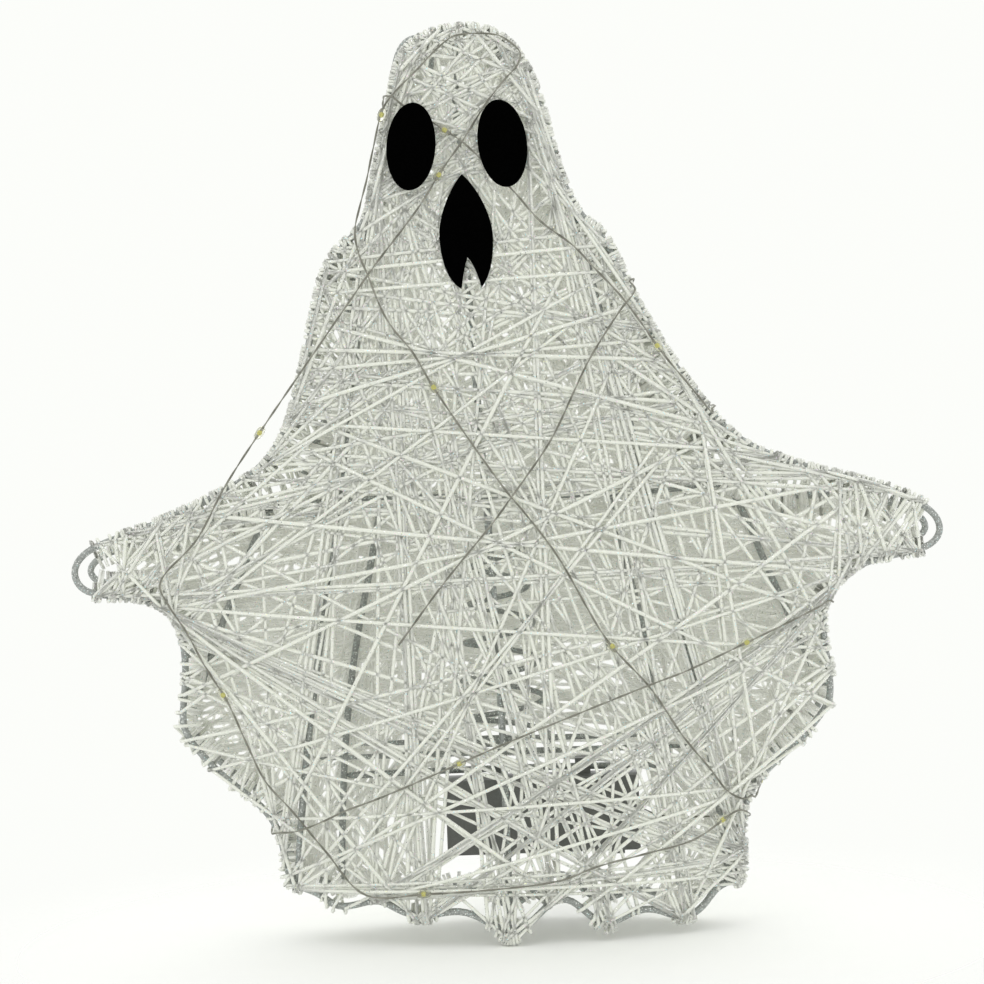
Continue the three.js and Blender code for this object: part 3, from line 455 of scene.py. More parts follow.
def addStrandData(obj, centres, sides, tints):
    # the strand's length in mm and the way round it as a UV map, and one tint for each strand
    strands, count, _ = centres.shape
    mesh = obj.data
    tint = mesh.attributes.new("strandTint", "FLOAT", "POINT")
    tint.data.foreach_set("value", np.repeat(tints, count * sides).astype(np.float32))
    corner = np.zeros(len(mesh.loops), np.int32)
    mesh.loops.foreach_get("vertex_index", corner)
    u = runAlong(centres).reshape(-1)[corner // sides] / mm
    v = (corner % sides) / sides
    order = np.arange(len(corner))
    wraps = (corner % sides == 0) & np.isin(order % 4, (1, 2)) & (order < strands * (count - 1) * sides * 4)
    layer = mesh.uv_layers.new(name="strand")
    layer.data.foreach_set("uv", np.stack([u, np.where(wraps, 1.0, v)], -1).astype(np.float32).ravel())


def carriedAcross(centres):
    # a side vector carried along one path without twisting, each turned square to its stretch of the path
    along = unit(np.gradient(centres, axis=0))
    start = np.cross(along[0], [0.0, 1.0, 0.0] if abs(along[0][1]) < 0.9 else [1.0, 0.0, 0.0])

    def carry(across, direction):
        across = across - direction * across.dot(direction)
        return across / np.sqrt(across.dot(across))

    return np.array(list(accumulate(along[1:], carry, initial=carry(start, along[0])))), along


def cadCopy(node, name, material, edit):
    # a CAD solid's mesh with its doubles merged, then edited
    mesh = frame["nodes"][node].data.copy()
    mesh.name = name
    mesh.materials.clear()
    mesh.materials.append(material)
    work = bmesh.new()
    work.from_mesh(mesh)
    bmesh.ops.remove_doubles(work, verts=work.verts, dist=0.01 * mm)
    edit(work)
    work.to_mesh(mesh)
    work.free()
    return mesh


# Frame wires: the CAD's own, rounded

wirePlan = {"growth": 0.15, "levels": 2}  # mm let out before rounding, which takes some off


def letOut(work):
    # triangles joined to quads, and each point moved out along its normal
    bmesh.ops.join_triangles(work, faces=work.faces, angle_face_threshold=0.2, angle_shape_threshold=3.0)
    for vertex in work.verts:
        vertex.co += vertex.normal * wirePlan["growth"] * mm


def roundedWire(node, plan):
    mesh = cadCopy(node, node + "_rounded", wireMaterial, letOut)
    mesh.polygons.foreach_set("use_smooth", np.ones(len(mesh.polygons), bool))
    obj = addPiece(mesh.name, mesh, "ghost", [node])
    finer = obj.modifiers.new("finer", "SUBSURF")
    finer.levels = finer.render_levels = plan["levels"]


def nodesWith(slotName):
    return [row["node"] for row in frame["record"]["subparts"] if row["material_slot"] == slotName]


for node in nodesWith("glitter_wire"):
    roundedWire(node, wirePlan)
print("wires rounded", len(nodesWith("glitter_wire")))

# Yarn: straight strands from edge to edge, each hooked round the wire at both ends

yarn = {
    "radius": 0.58,  # mm
    "radiusShares": (0.85, 1.1),
    "tints": (0.65, 1.15),
    "lowOffset": 1.9,  # mm off the surface, for the strands wound first
    "highOffset": 3.1,  # and for those wound last
    "overOffset": 3.65,  # and for the long ones on top of all
    "rise": 6.0,  # a strand reaches its height in a sixth of its length
    "innerPoints": 13,
    "sides": 6,
    "hookAngles": [30, 60, 90, 120, 150, 180],  # degrees round the wire, from its top to its underside
    "tuck": 2.4,  # an end's run under the wire, in radii of wire and yarn together
    "tuckDepth": 0.95,  # and its depth below the wire's middle
    "slide": 1.2,  # a hook's slide along the wire for a strand at half a right angle
    "steepest": 0.6,  # the most slant that a hook takes up
}

# Long strands wound last: x and z in mm of one end and of the other
overStrands = [
    (-106, 118, 106, 90), (-67, 172, 96, 102), (-63, 168, 80, 143), (-67, 164, 106, 72),
    (-97, 132, 108, 119), (-101, 120, 114, 137), (-73, 35, 21, 214), (-68, 20, 63, 165),
    (-58, 17, 65, 174), (-94, 58, 113, 115), (-68, 20, 121, 144), (-68, 18, 75, 18), (-43, 17, 77, 48),
    (-66, 47, 77, 49), (-68, 22, 77, 94), (-66, 142, 41, 214), (-78, 112, 39, 207), (48, 203, -37, 18),
    (-60, 192, 58, 184), (-61, 185, 53, 191), (-64, 173, 51, 204), (-57, 200, 71, 157),
    (-44, 212, 42, 223), (-44, 206, 49, 216), (63, 173, 81, 48), (29, 14, 105, 71), (-106, 116, 16, 16),
    (-89, 80, 67, 155),
]

# The stretches of the outline that strands join: how many in front, how many behind, and the shortest in mm
webPlan = {
    "anywhere": (150, 430, 24.0), "head": (40, 50, 12.0), "armLeft": (14, 20, 9.0),
    "armRight": (20, 20, 9.0), "hem": (6, 0, 30.0), "hemToHead": (50, 60, 120.0),
    "hemToLeft": (22, 12, 60.0), "hemToRight": (22, 12, 60.0),
}
backGap = (-22.0, 46.0, 19.0, 50.0)  # least and greatest x, least and greatest z in mm: the battery box

# How readily the outline catches a strand, by height in mm, at the sides and at the hem
catchPlan = {
    "heights": [0.0, 20.0, 45.0, 52.0, 90.0, 104.0, 112.0, 292.5],
    "front": [0.35, 0.35, 0.5, 0.12, 0.2, 0.8, 1.0, 1.0],
    "back": [0.7, 0.7, 0.7, 0.45, 0.45, 0.9, 0.9, 0.75],
    "bareTips": (-131.0, 139.0),  # x in mm, past which the arms are left bare
    "tips": [(-66, 17), (-54, 11.5), (-42, 15), (-28, 8), (0, 1), (14, 13.5), (31, 3), (56, 4), (75, 14)],
    "tipReach": 3.0,  # mm from a tip of the hem, within which most of its strands are caught
    "hemHeight": 18.0,  # mm
    "offTip": 0.08,  # readiness of the hem away from its tips
}


def inBox(x, z, box):
    return (x > box[0]) & (x < box[1]) & (z > box[2]) & (z < box[3])


def isInside(edge, x, z):
    # an even number of crossings of a ray with the outline means outside
    ax, az = edge[:, 0], edge[:, 1]
    bx, bz = np.roll(ax, -1), np.roll(az, -1)
    x, z = x[..., None], z[..., None]
    spans = (az > z) != (bz > z)
    with np.errstate(divide="ignore", invalid="ignore"):
        crossing = ax + (bx - ax) * (z - az) / (bz - az)
    return (np.sum(spans & (x < crossing), -1) % 2) == 1


def readiness(points, face):
    # by height, nothing at the bare ends of the arms, and along the hem mostly close to its tips
    left, right = catchPlan["bareTips"]
    catch = np.interp(points[:, 1], catchPlan["heights"], catchPlan["front" if face == front else "back"])
    catch = catch * (points[:, 0] > left) * (points[:, 0] < right)
    away = np.linalg.norm(points[:, None] - np.array(catchPlan["tips"], float), axis=-1).min(1)
    plain = (points[:, 1] < catchPlan["hemHeight"]) & (away > catchPlan["tipReach"])
    return catch * np.where(plain, catchPlan["offTip"], 1.0)


def alongChords(edge, ends, t):
    # x and z at the shares t of the straight lines between pairs of outline points, and the lines' lengths
    a, b = edge["points"][ends[:, 0]], edge["points"][ends[:, 1]]
    line = a[:, None] + (b - a)[:, None] * t[:, None]
    return line[..., 0], line[..., 1], np.linalg.norm(b - a, axis=1)


def drawChords(edge, face, count, starts, ends, shortest):
    # pairs of outline points from two stretches, whose line stays inside the outline and, at the back, clear
    # of the battery box, kept as often as both ends catch
    points = edge["points"]
    catch = readiness(points, face)
    made = np.zeros((0, 2), int)
    tries = 600
    while len(made) < count:
        share = np.stack([rng.uniform(*starts, tries), rng.uniform(*ends, tries)], -1) % 1.0
        pair = (share * len(points)).astype(int)
        x, z, length = alongChords(edge, pair, np.linspace(0.03, 0.97, 48))
        good = isInside(points[::4], x[:, ::2], z[:, ::2]).all(1) & (length > shortest)
        if face == back:
            good &= ~inBox(x, z, backGap).any(1)
        good &= rng.uniform(0, 1, tries) < catch[pair[:, 0]] * catch[pair[:, 1]]
        made = np.vstack([made, pair[good]])
    return made[:count]


def nearestTo(edge, places):
    away = np.linalg.norm(edge["points"][None] - np.asarray(places, float)[:, None], axis=-1)
    return np.argmin(away, 1)


def beside(place, step, face, lift):
    # points beside places on an outline's wire: x and z moved by the step, and y by the lift
    flat = place[:, None] + step
    return np.stack([flat[..., 0], face * (halfDepth(*place.T)[:, None] + lift), flat[..., 1]], -1)


def hookRound(edge, at, travel, face, radius):
    # round the wire from its top to its underside: outwards with the sine of the angle, down with its
    # cosine, and along the wire with the sine of half the angle where the strand meets it at a slant
    place, outward, along = edge["points"][at], edge["outward"][at], edge["along"][at]
    reach = body["wireRadius"] + radius
    slope = np.sum(travel * along, 1) / np.maximum(np.sum(travel * outward, 1), 0.1)
    slope = np.clip(slope, -yarn["steepest"], yarn["steepest"])
    angle = np.radians(yarn["hookAngles"])
    out = np.append(np.sin(angle), -yarn["tuck"])
    slide = np.append(np.sin(angle / 2), yarn["slide"]) * yarn["slide"]
    deep = np.append(np.cos(angle), -yarn["tuckDepth"])
    step = outward[:, None] * out[:, None] + along[:, None] * (slope[:, None] * slide)[..., None]
    return beside(place, step * reach[:, None, None], face, deep * reach[:, None])


def strandPaths(edge, ends, face, layers, radius):
    # the hook at one end, the straight part over the face, and the hook at the other end
    travel = unit(edge["points"][ends[:, 1]] - edge["points"][ends[:, 0]])
    t = np.linspace(0.0, 1.0, yarn["innerPoints"])
    reach = (body["wireRadius"] + radius)[:, None]
    offset = reach + (layers[:, None] - reach) * np.clip(yarn["rise"] * np.minimum(t, 1 - t), 0, 1)
    middle = onFace(*alongChords(edge, ends, t)[:2], face, offset)
    start = hookRound(edge, ends[:, 0], -travel, face, radius)[:, ::-1]
    end = hookRound(edge, ends[:, 1], travel, face, radius)
    across = np.stack([travel[:, 1], np.zeros(len(travel)), -travel[:, 0]], -1)[:, None, :]
    return np.concatenate([start, middle, end], 1) * mm, across


def drawRadii(count):
    return yarn["radius"] * rng.uniform(*yarn["radiusShares"], count)


def addStrands(name, centres, across, radius, replaced, material=yarnMaterial):
    points, faces = sweepStrands(centres, across, radius * mm, yarn["sides"])
    obj = makePiece(name, points, faces, material, replaced)
    addStrandData(obj, centres, yarn["sides"], rng.uniform(*yarn["tints"], len(centres)))
    print(name, len(centres), "strands,", len(faces), "faces")


def windStrands(name, edge, face, ends, overs, replaced, material):
    # each strand at its own height over the face, and the long ones on top of all
    layers = rng.uniform(yarn["lowOffset"], yarn["highOffset"], len(ends))
    layers = np.concatenate([layers, np.full(len(overs), yarn["overOffset"])])
    ends = np.vstack([ends, overs])
    radius = drawRadii(len(ends))
    centres, across = strandPaths(edge, ends, face, layers, radius)
    addStrands(name, centres, across, radius, replaced, material)


def buildWeb(name, edge, face, replaced, overs, material):
    # the stretches are shares of the outline's length from the crown
    def at(x, z):
        return nearestTo(edge, [(x, z)])[0] / len(edge["points"])

    whole = (0.0, 1.0)
    head = (at(27, 236) - 1.0, at(-37, 236))
    armLeft = (at(-84, 146), at(-103, 105))
    armRight = (at(104, 104), at(94, 148))
    hem = (at(-72, 30), at(76, 30))
    innerHem = (at(-45 if face == front else -72, 18), hem[1])
    stretches = {
        "anywhere": (whole, whole), "head": (head, head), "armLeft": (armLeft, armLeft),
        "armRight": (armRight, armRight), "hem": (hem, hem),
        "hemToHead": (innerHem, (at(45, 207) - 1.0, at(-55, 204))),
        "hemToLeft": (innerHem, (at(-120, 117), at(-88, 52))),
        "hemToRight": (innerHem, (at(88, 53), at(130, 119))),
    }
    ends = []
    for group, (inFront, behind, shortest) in webPlan.items():
        count = inFront if face == front else behind
        ends.append(drawChords(edge, face, count, *stretches[group], shortest))
    top = nearestTo(edge, np.array(overs, float).reshape(-1, 2)).reshape(-1, 2)
    windStrands(name, edge, face, np.vstack(ends), top, replaced, material)


buildWeb("frontYarn", frontEdge, front, ["front_yarn_web"], overStrands, yarnMaterial)
buildWeb("backYarn", backEdge, back, ["back_yarn_web"], [], backYarnPaintedLightMaterial)

# More strands of the back, beside the battery box, below it and above it: each row gives how many, the box
# in which both ends lie, and the shortest in mm

lowPlan = {
    "lowLeftYarn": (24, (-80.0, -26.0, 5.0, 56.0), 9.0),
    "lowRightYarn": (20, (50.0, 82.0, 3.0, 56.0), 9.0),
    "hemYarn": (14, (-26.0, 50.0, 0.0, 16.0), 9.0),
    "aboveBoxYarn": (22, (-112.0, 112.0, 53.0, 88.0), 110.0),
    "middleYarn": (105, (-125.0, 125.0, 84.0, 125.0), 90.0),
}


def buildLowStrands(name, count, box, shortest):
    # any two places of the outline in the box, whose straight line stays inside the outline
    points = backEdge["points"]
    chosen = np.flatnonzero(inBox(*points.T, box))
    made = np.zeros((0, 2), int)
    tries = 400
    while len(made) < count:
        pair = rng.choice(chosen, (tries, 2))
        x, z, length = alongChords(backEdge, pair, np.linspace(0.05, 0.95, 16))
        good = isInside(points[::4], x, z).all(1) & (length > shortest)
        made = np.vstack([made, pair[good]])
    windStrands(name, backEdge, back, made[:count], made[:0], [], backYarnPaintedLightMaterial)


for name, row in lowPlan.items():
    buildLowStrands(name, *row)

# Passes of yarn round the sides, from the front outline to the back one; each row gives how many, the
# stretch of the front outline by x and z of both ends in mm, that of the back one where it isn't the same,
# and what is replaced

sidePlan = {
    "leftShoulderPasses": (46, [(-41.5, 228), (-84, 148.5)], [(-43, 220), (-85, 138.5)],
        ["left_shoulder_winding"]),
    "rightShoulderPasses": (46, [(94, 150.5), (30, 231)], [(96, 138), (35.5, 219)],
        ["right_shoulder_winding"]),
    "leftHeadPasses": (28, [(-16, 290.8), (-37.2, 234.5)]),
    "rightHeadPasses": (28, [(30, 231), (1, 291.8)]),
    "leftArmPasses": (16, [(-84, 148.5), (-121, 133.5)], [(-85, 138.5), (-122, 129.5)]),
    "rightArmPasses": (16, [(133, 138), (94, 150.5)], [(131.5, 135), (96, 138)]),
    "leftSkirtPasses": (9, [(-101.5, 94), (-72.5, 30)]),
    "rightSkirtPasses": (9, [(76, 27), (104, 95)]),
}
passPlan = {
    "lead": 4.0,  # a pass's start inside the wire, in radii of wire and yarn together
    "jitter": (0.1, 0.9),  # where a pass lies in its own share of the stretch
    "wander": 0.09,  # most that its back end strays, as a share of the stretch
}


def sidePath(edge, at, face, radius):
    # in over the wire's top from the face side, and a quarter turn round it to its outer side
    place, outward = edge["points"][at], edge["outward"][at]
    reach = body["wireRadius"] + radius
    angle = np.radians([0, 30, 60, 90])
    out = np.append(-passPlan["lead"], np.sin(angle))
    deep = np.append(1.0, np.cos(angle))
    return beside(place, outward[:, None] * (out * reach[:, None])[..., None], face, deep * reach[:, None])


def buildSide(name, count, frontRun, backRun=None, replaced=()):
    # evenly spread passes with some jitter: round the front wire, straight across and round the back wire
    share = (np.arange(count) + rng.uniform(*passPlan["jitter"], count)) / count
    shift = rng.uniform(-passPlan["wander"], passPlan["wander"], count)
    ends = []
    for edge, run, wander in ((frontEdge, frontRun, 0.0), (backEdge, backRun or frontRun, shift)):
        first, last = nearestTo(edge, run)
        last = last + len(edge["points"]) * (last < first)
        at = first + (last - first) * np.clip(share + wander, 0, 1)
        ends.append(np.round(at).astype(int) % len(edge["points"]))
    radius = drawRadii(count)
    start = sidePath(frontEdge, ends[0], front, radius)
    end = sidePath(backEdge, ends[1], back, radius)[:, ::-1]
    t = np.array([0.25, 0.5, 0.75])[:, None]
    middle = start[:, -1:] + (end[:, :1] - start[:, -1:]) * t
    along = frontEdge["along"][ends[0]]
    across = np.stack([along[:, 0], np.zeros(count), along[:, 1]], -1)[:, None, :]
    addStrands(name, np.concatenate([start, middle, end], 1) * mm, across, radius, replaced)


for name, row in sidePlan.items():
    buildSide(name, *row)

# Light wire: a thin twisted pair on one long route, all in mm. Inside the body it goes by x, y and z, over a
# face by x, z and how many others it lies over, and round the side by the x and z of both outlines there

lightWire = {
    "offset": 4.65,  # mm off the surface
    "reach": 2.8,  # mm from the middle of the frame's wire, where it goes round the side
    "roundAngles": [25, 60, 90],  # degrees from on top of the frame's wire to its outer side
    "layerStep": 1.4,  # mm for each other wire it lies over
    "strandRadius": 0.19,
    "spread": 0.17,  # mm from the middle of the pair to each strand
    "twistPitch": 17.0,  # mm
    "step": 1.1,  # mm between points
    "sides": 6,
}
lightRoute = [
    ("inside", [(35.4, 21.15, 34.55), (40, 21.15, 34.55), (45.8, 21.15, 34.55), (50, 18, 33),
        (57, 11.5, 33), (71, 1.5, 34), (76.8, -4, 34.5), (78.8, -9.5, 35.5), (78.5, -14.2, 37),
        (75.5, -17, 38.5)]),
    ("front", [(71, 38.5), (59, 31), (42, 27), (28, 24), (16, 20), (-3, 18), (-25, 17), (-45, 17),
        (-57, 31), (-68, 45), (-75.7, 54), (-81.6, 67), (-87, 80), (-94, 92), (-99.5, 103), (-105, 112),
        (-107.5, 118), (-95, 132), (-85.5, 148.5), (-73.7, 165.5), (-57.5, 187.6), (-47.5, 201.2),
        (-36.4, 216.1), (-20.8, 235.5), (-13.4, 246.7), (-6.8, 255.4), (1.6, 267.9), (7, 274.4),
        (12, 280), (12.6, 283.5), (9, 287.2), (5.6, 289.2), (-7.8, 289.4), (-12.7, 286.3),
        (-20.6, 278.6), (-26.5, 273.1), (-31.2, 267.5, -0.4), (-34.8, 255.5, -1.2), (-37.6, 244, -1.2),
        (-39.8, 236, -0.5), (-41.5, 228.3), (-40.6, 221.5, 0.3), (-37.7, 214, 1), (-33.8, 203, 0.5),
        (-30.4, 196.8), (-24.6, 189.3), (-19.5, 179.9), (-9.9, 164.3), (3.6, 143.9), (9.7, 136.1),
        (18.7, 123.1), (33.4, 96.2), (46.3, 80.6), (56.2, 64.5), (64.7, 53.2), (70, 45.8), (75, 43)]),
    ("round", [(78.8, 43), (84, 50)]),
    ("back", [(70, 72), (54, 94), (68, 115), (88, 112), (100, 103)]),
    ("round", [(104.5, 104.5), (106, 105.5)]),
    ("front", [(101, 104), (83, 96), (76, 93), (58, 85.5, 0.2), (45.5, 81.5, 1), (32, 76.4, 0.2),
        (-1, 64), (-18, 57), (-40, 48), (-50, 44.5, 0.3), (-57, 41.5, 1.6), (-65, 38.5, 1.6)]),
    ("round", [(-73.7, 36.5), (-74.5, 39)]),
    ("back", [(-68, 56), (-64, 90), (-58, 120), (-50, 150), (-42, 180), (-37, 210), (-33, 240),
        (-29, 257)]),
    ("round", [(-30.5, 264), (-28.5, 271)]),
    ("front", [(-28.4, 270.6, 1), (-25.5, 268.2, 0.1), (-22.5, 266), (-16.1, 262.2), (-11, 258.6, 0.4),
        (-6.8, 255.4, 1), (-2.3, 251.2), (8.9, 239.3), (17.1, 229.4), (27.3, 221.1), (33.4, 214.2),
        (41.5, 205), (47, 197.2), (54, 186.5), (62.5, 175.5), (69.5, 166.5)]),
    ("round", [(69.5, 167.5), (61, 167)]),
    ("back", [(57, 161), (50, 166), (45, 178), (42.5, 192)]),
    ("round", [(42.5, 202), (43.8, 209.5)]),
    ("front", [(46, 206.5, 1), (41, 200, 1), (31, 185), (18, 160), (9, 147.5, 0.2), (5, 142.3, 1),
        (-1, 134.5, 0.2), (-17, 116), (-32, 97)]),
]


def sideRound(run, firstFace, plan):
    # a quarter turn round one outline's wire, and after a straight stretch one round the other's
    angle = np.radians(plan["roundAngles"])
    arcs = []
    for place, face in zip(run, (firstFace, -firstFace)):
        edge = frontEdge if face == front else backEdge
        at = nearestTo(edge, [place])[0]
        x, z = edge["points"][at][:, None] + edge["outward"][at][:, None] * np.sin(angle) * plan["reach"]
        depth = face * (halfDepth(*edge["points"][at]) + np.cos(angle) * plan["reach"])
        arcs.append(np.stack([x, depth, z], -1))
    return np.vstack([arcs[0], arcs[1][::-1]])


def buildLightWire(plan):
    # two strands on opposite sides of the route's middle, which turn round it with the distance along it
    places = []
    sides = {"front": front, "back": back}
    for kind, run in lightRoute:
        if kind in sides:
            x, z, level = np.array([(*row, 0.0)[:3] for row in run], float).T
            places.append(onFace(x, z, sides[kind], plan["offset"] + level * plan["layerStep"]))
            lastFace = sides[kind]
        elif kind == "round":
            places.append(sideRound(run, lastFace, plan))
        else:
            places.append(np.array(run, float))
    centres = smoothCurve(np.vstack(places), plan["step"], False) * mm
    across, along = carriedAcross(centres)
    upward = np.cross(along, across)
    turn = 2 * np.pi * np.arange(len(centres)) * plan["step"] / plan["twistPitch"]
    side = spokes(across, upward, turn)
    pair = np.stack([centres + side * plan["spread"] * mm, centres - side * plan["spread"] * mm])
    points, faces = sweepStrands(pair, across, plan["strandRadius"] * mm, plan["sides"])
    makePiece("lightWirePair", points, faces, lightWireMaterial, ["light_wire"])
    print("light wire", len(centres), "points")
    return centres


lightCentres = buildLightWire(lightWire)

# Drops: clear resin beads on the wire, each with a yellow chip inside

drops = {
    "lightDrops": {"length": 4.7, "width": 2.7, "rows": 13, "sides": 14, "material": resinMaterial},
    "dropChips": {"length": 1.7, "width": 1.15, "rows": 7, "sides": 8, "material": chipMaterial},
}
beadShape = {"opening": 0.04, "bluntness": 0.8}  # radians cut off at each end, and a power of the width


def buildBeads(name, middles, directions, plan, replaced):
    # ellipsoids: the width at each row goes with the sine of the angle from the bead's one end to its other
    angle = np.linspace(beadShape["opening"], np.pi - beadShape["opening"], plan["rows"])
    across = unit(np.cross(directions, [0.3, 0.5, 0.81]))
    upward = np.cross(directions, across)
    radial = spokes(across[:, None, None], upward[:, None, None], ringAngles(plan["sides"]))
    lengthwise = np.cos(angle) * plan["length"] / 2 * mm
    width = np.sin(angle) ** beadShape["bluntness"] * plan["width"] / 2 * mm
    points = middles[:, None, None] - directions[:, None, None] * lengthwise[:, None, None] \
        + radial * width[:, None, None]
    faces = gridFaces(len(middles), plan["rows"], plan["sides"])
    makePiece(name, points, faces, plan["material"], replaced)


def buildDrops():
    # each bead stands where the CAD's drop does, and lies along the wire there
    nodes = nodesWith("light_drop")
    middles = np.array([[(low + high) / 2 for low, high in zip(*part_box(node))] for node in nodes])
    away = np.linalg.norm(lightCentres[None] - middles[:, None], axis=-1)
    near = np.clip(np.argmin(away, 1), 2, len(lightCentres) - 3)
    directions = unit(lightCentres[near + 2] - lightCentres[near - 2])
    for name, plan in drops.items():
        buildBeads(name, middles, directions, plan, nodes if name == "lightDrops" else [])
    print("drops", len(nodes))


buildDrops()

# Eyes and mouth: flat black sheet with softened edges

# Each row gives the node, the middle's x and z, the lean in degrees, mm off the surface, width and height
facePieces = {
    "leftEye": ("left_eye", (-22.8, 254.3), -5.5, 5.4, (15.6, 28.0)),
    "rightEye": ("right_eye", (6.0, 254.3), 5.5, 5.4, (15.6, 28.0)),
    "mouthLeaf": ("mouth", (-6.5, 227.0), 2.0, 3.3, (17.0, 36.5)),
}
faceSheet = {"thickness": 1.6, "round": 0.35}  # mm


def eyeOutline(width, height):
    angle = np.linspace(0, 2 * np.pi, 72, endpoint=False)
    return np.stack([np.cos(angle) * width / 2, np.sin(angle) * height / 2], -1)


# The mouth's runs of control points as shares of its half width and half height: a leaf with a pointed top
# and a notch that leaves two lobes below
mouthRuns = [
    [(0, 1), (0.55, 0.75), (1, 0.25), (1, -0.08)],
    [(1, -0.08), (1, -0.5), (0.8, -0.8), (0.45, -1)],
    [(0.45, -1), (0.3, -0.65), (0, -0.45)],
    [(0, -0.45), (-0.2, -0.7), (-0.3, -1)],
    [(-0.3, -1), (-0.8, -0.85), (-1, -0.5), (-1, -0.08)],
    [(-1, -0.08), (-1, 0.25), (-0.55, 0.75), (0, 1)],
]


def bezier(points):
    # a curve without its last point: the sum of the control points, each times its Bernstein polynomial
    n = len(points) - 1
    t = np.linspace(0, 1, 6 * n, endpoint=False)[:, None]
    return sum(math.comb(n, k) * t ** k * (1 - t) ** (n - k) * point for k, point in enumerate(points))


def mouthOutline(width, height):
    half = np.array([width / 2, height / 2])
    return np.vstack([bezier(np.array(run) * half) for run in mouthRuns])[::-1]


def buildLeaf(name, node, place, lean, offset, size):
    # the outline carried up through the thickness, drawn in along its own normals at both rims
    shape = mouthOutline(*size) if node == "mouth" else eyeOutline(*size)
    thickness, rounding = faceSheet["thickness"], faceSheet["round"]
    lean = math.radians(lean)
    spun = shape @ np.array([[math.cos(lean), math.sin(lean)], [-math.sin(lean), math.cos(lean)]])
    along = unit(np.roll(spun, -1, 0) - np.roll(spun, 1, 0))
    inward = np.stack([-along[:, 1], along[:, 0]], -1)
    angle = np.radians([0, 30, 60, 90])
    inset = rounding * (1 - np.sin(angle))
    height = rounding * (1 - np.cos(angle))
    inset = np.concatenate([inset, inset[::-1]])
    height = np.concatenate([height, thickness - height[::-1]])
    x, z = (np.array([value]) for value in place)
    seat = onFace(x, z, front, np.array([offset]))[0]
    normal = faceNormal(x, z, front)[0]
    sideways = unit(np.cross([0.0, 0.0, 1.0], normal))
    flat = spun[None] + inward[None] * inset[:, None, None]
    points = seat + flat[..., :1] * sideways + flat[..., 1:] * np.cross(normal, sideways) \
        + height[:, None, None] * normal
    faces = gridFaces(1, len(height), len(spun))
    makePiece(name, points * mm, faces, faceMaterial, [node], smooth=False)


for name, row in facePieces.items():
    buildLeaf(name, *row)
print("face made")

# Battery box: the CAD's own pieces with softened edges; each row gives the body, the slot, the material and
# the bevel in mm

housingPieces = {
    "battery_case": ("ghost", "black_housing", housingMaterial, 0.25),
    "battery_cover": ("battery_cover_lid", "black_housing", housingMaterial, 0.2),
    "switch_slider": ("switch_knob", "black_housing", housingMaterial, 0.15),
    "circuit_board": ("ghost", "circuit_board", boardMaterial, 0.05),
    "lower_contact_plate": ("ghost", "contact_steel", steelMaterial, 0.08),
    "upper_contact_plate": ("ghost", "contact_steel", steelMaterial, 0.08),
}


def joinFlats(work):
    bmesh.ops.dissolve_limit(work, angle_limit=math.radians(1.0), verts=work.verts, edges=work.edges)


def softenedCopy(node, bodyName, slotName, material, width):
    # a CAD solid with its flat faces joined and its sharp edges rounded by a bevel
    mesh = cadCopy(node, node + "_softened", material, joinFlats)
    obj = addPiece(mesh.name, mesh, bodyName, [node])
    soft = obj.modifiers.new("soft", "BEVEL")
    soft.width = width * mm
    soft.segments = 2
    soft.limit_method = "ANGLE"
    soft.angle_limit = math.radians(35.0)
    soft.use_clamp_overlap = True


for node, row in housingPieces.items():
    softenedCopy(node, *row)
print("battery box softened")

# Cells: a printed jacket rolled over the rims of a steel can, with a nub on one end

cellPlan = {
    "diameter": 10.5, "length": 44.5, "nubDiameter": 3.8, "nubLength": 0.9, "jacketLip": 0.9,  # mm
    "sides": 48,
}


def boxOf(node):
    # least and greatest corner, and the middle, in mm
    low, high = (np.array(corner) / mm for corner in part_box(node))
    return low, high, (low + high) / 2


def buildCell(name, node, plan, heads):
    # a profile of radius and distance along the cell, turned round its axis
    radius, end = plan["diameter"] / 2, plan["length"] - plan["nubLength"]
    nub, lip = plan["nubDiameter"] / 2, plan["jacketLip"]
    rim = [(radius - lip - 0.3, 0.25), (radius - lip, 0.15), (radius - lip, 0.0), (radius - 0.35, 0.0),
        (radius - 0.1, 0.1), (radius, 0.35)]
    top = [(reach, end - run) for reach, run in reversed(rim)]
    button = [(nub + 0.15, end - 0.25), (nub, end - 0.1), (nub, plan["length"] - 0.25),
        (nub - 0.25, plan["length"]), (0.2, plan["length"])]
    profile = np.array([(0.2, 0.25), *rim, *top, *button])
    low, high, middle = boxOf(node)
    start = low[0] if heads > 0 else high[0]
    angle = ringAngles(plan["sides"]) * heads
    rings = np.stack([
        np.broadcast_to((start + heads * profile[:, 1])[:, None], (len(profile), plan["sides"])),
        middle[1] + profile[:, :1] * np.cos(angle), middle[2] + profile[:, :1] * np.sin(angle)], -1)
    faces = gridFaces(1, len(profile), plan["sides"])
    obj = makePiece(name, rings * mm, faces, jacketMaterial, [node])
    obj.data.materials.append(steelMaterial)
    row = np.arange(len(obj.data.polygons)) // plan["sides"]
    jacket = (row >= 2) & (row < 11)
    obj.data.polygons.foreach_set("material_index", np.where(jacket, 0, 1).astype(np.int32))
    obj.data.polygons.foreach_set("use_smooth", np.isin(row, (5, 7, 15)) | (row == 6))


buildCell("lowerCell", "lower_cell", cellPlan, 1)
buildCell("upperCell", "upper_cell", cellPlan, -1)

# Contact springs: steel wire in four turns

springPlan = {"diameter": 6.0, "wire": 0.6, "turns": 4.0, "steps": 96, "sides": 8}


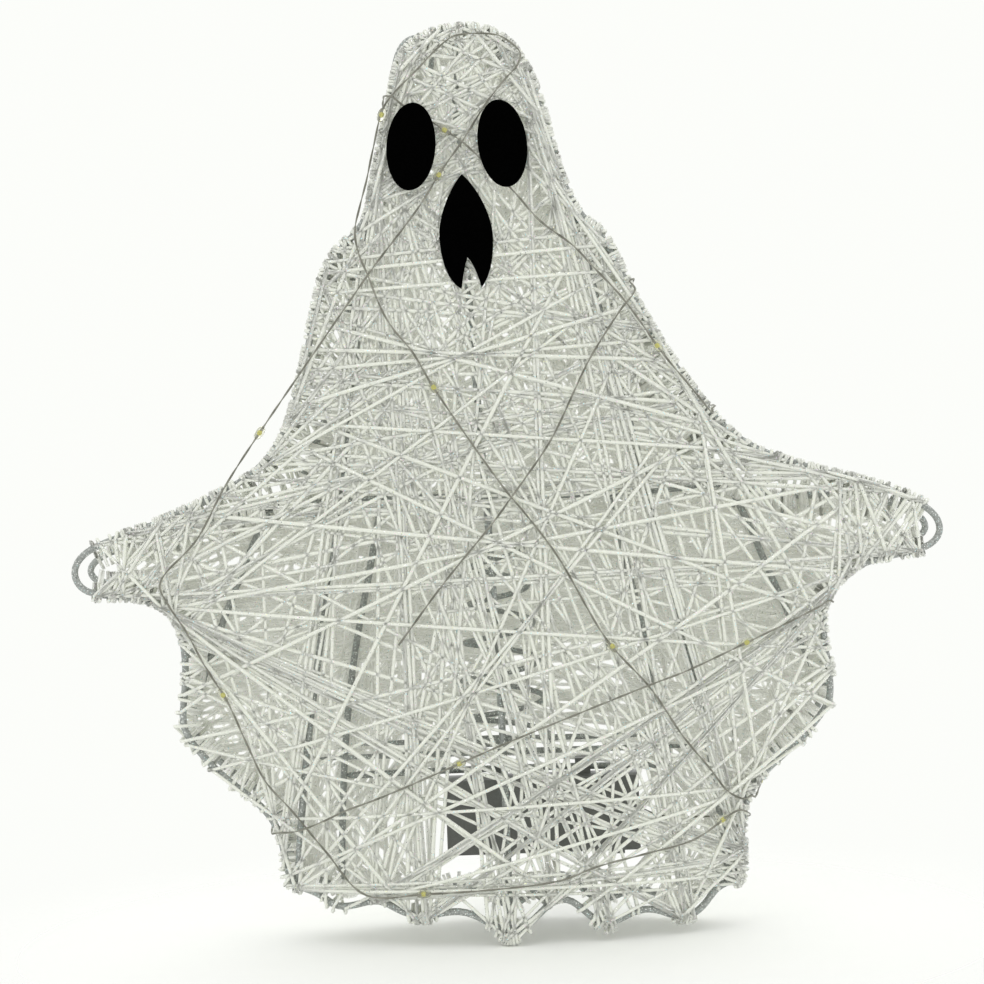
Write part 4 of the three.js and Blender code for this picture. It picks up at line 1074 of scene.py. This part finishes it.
def buildSpring(name, node, plan):
    # a helix from one end of the CAD's spring to the other
    low, high, middle = boxOf(node)
    t = np.linspace(0, 1, plan["steps"])
    angle = 2 * np.pi * plan["turns"] * t
    reach = (plan["diameter"] - plan["wire"]) / 2
    run = low[0] + plan["wire"] / 2 + (high[0] - low[0] - plan["wire"]) * t
    centres = np.stack([run, middle[1] + reach * np.cos(angle), middle[2] + reach * np.sin(angle)], -1) * mm
    across, _ = carriedAcross(centres)
    points, faces = sweepStrands(centres[None], across[None], plan["wire"] / 2 * mm, plan["sides"])
    makePiece(name, points, faces, steelMaterial, [node])


buildSpring("lowerSpring", "lower_contact_spring", springPlan)
buildSpring("upperSpring", "upper_contact_spring", springPlan)
print("cells and springs made")

# Stage: a pale disc of floor that fades out, a white surround and two soft lamps

stage = {
    "floorHeight": -1.4,  # mm
    "floorRadius": 420.0,
    "fadeFrom": 0.04,  # m
    "fadeTo": 0.22,
    "floorColour": (0.97, 0.975, 0.965),
    "surround": (0.975, 0.985, 0.955),
    "surroundStrength": 1.0,
}
lamps = {  # place in m, size in m and power in W
    "keyLamp": ((-0.4, -1.3, 1.5), 1.4, 4.0),
    "backLamp": ((0.2, 1.4, 0.9), 1.6, 5.0),
}
lampAim = (0.0, 0.0, 0.14)  # m


def makeStage(s):
    angle = np.linspace(0, 2 * np.pi, 96, endpoint=False)
    ring = np.stack([np.cos(angle), np.sin(angle), np.zeros_like(angle)], -1) * s["floorRadius"] * mm
    points = ring + np.array([0, 0, s["floorHeight"] * mm])
    mesh = bpy.data.meshes.new("floor")
    mesh.from_pydata(points.tolist(), [], [tuple(range(len(points)))])
    obj = addObject("floor", mesh)
    material, tree, shader = newMaterial("floorPaper", Roughness=0.9, Base_Color=(*s["floorColour"], 1.0))
    distance = addNode(tree, "VectorMath", {0: objectPlace(tree)}, operation="LENGTH")
    fade = addNode(tree, "MapRange", {"Value": distance.outputs["Value"],
        "From Min": s["fadeFrom"], "From Max": s["fadeTo"]}, interpolation_type="SMOOTHSTEP")
    clear = addNode(tree, "BsdfTransparent")
    mixed = addNode(tree, "MixShader", {"Fac": fade.outputs["Result"]})
    tree.links.new(shader.outputs["BSDF"], mixed.inputs[1])
    tree.links.new(clear.outputs["BSDF"], mixed.inputs[2])
    tree.links.new(mixed.outputs["Shader"], tree.nodes["Material Output"].inputs["Surface"])
    mesh.materials.append(material)

    world = bpy.data.worlds.new("surround")
    world.use_nodes = True
    background = world.node_tree.nodes["Background"]
    background.inputs["Color"].default_value = (*s["surround"], 1.0)
    background.inputs["Strength"].default_value = s["surroundStrength"]
    bpy.context.scene.world = world


def addLamp(name, place, size, power):
    data = bpy.data.lights.new(name, "AREA")
    data.size = size
    data.energy = power
    obj = addObject(name, data)
    away = (Vector(place) - Vector(lampAim)).normalized()
    obj.matrix_world = Matrix.Translation(place) @ away.to_track_quat("Z", "Y").to_matrix().to_4x4()


makeStage(stage)
for name, row in lamps.items():
    addLamp(name, *row)
bpy.context.scene.view_settings.view_transform = "Standard"
print("stage made")
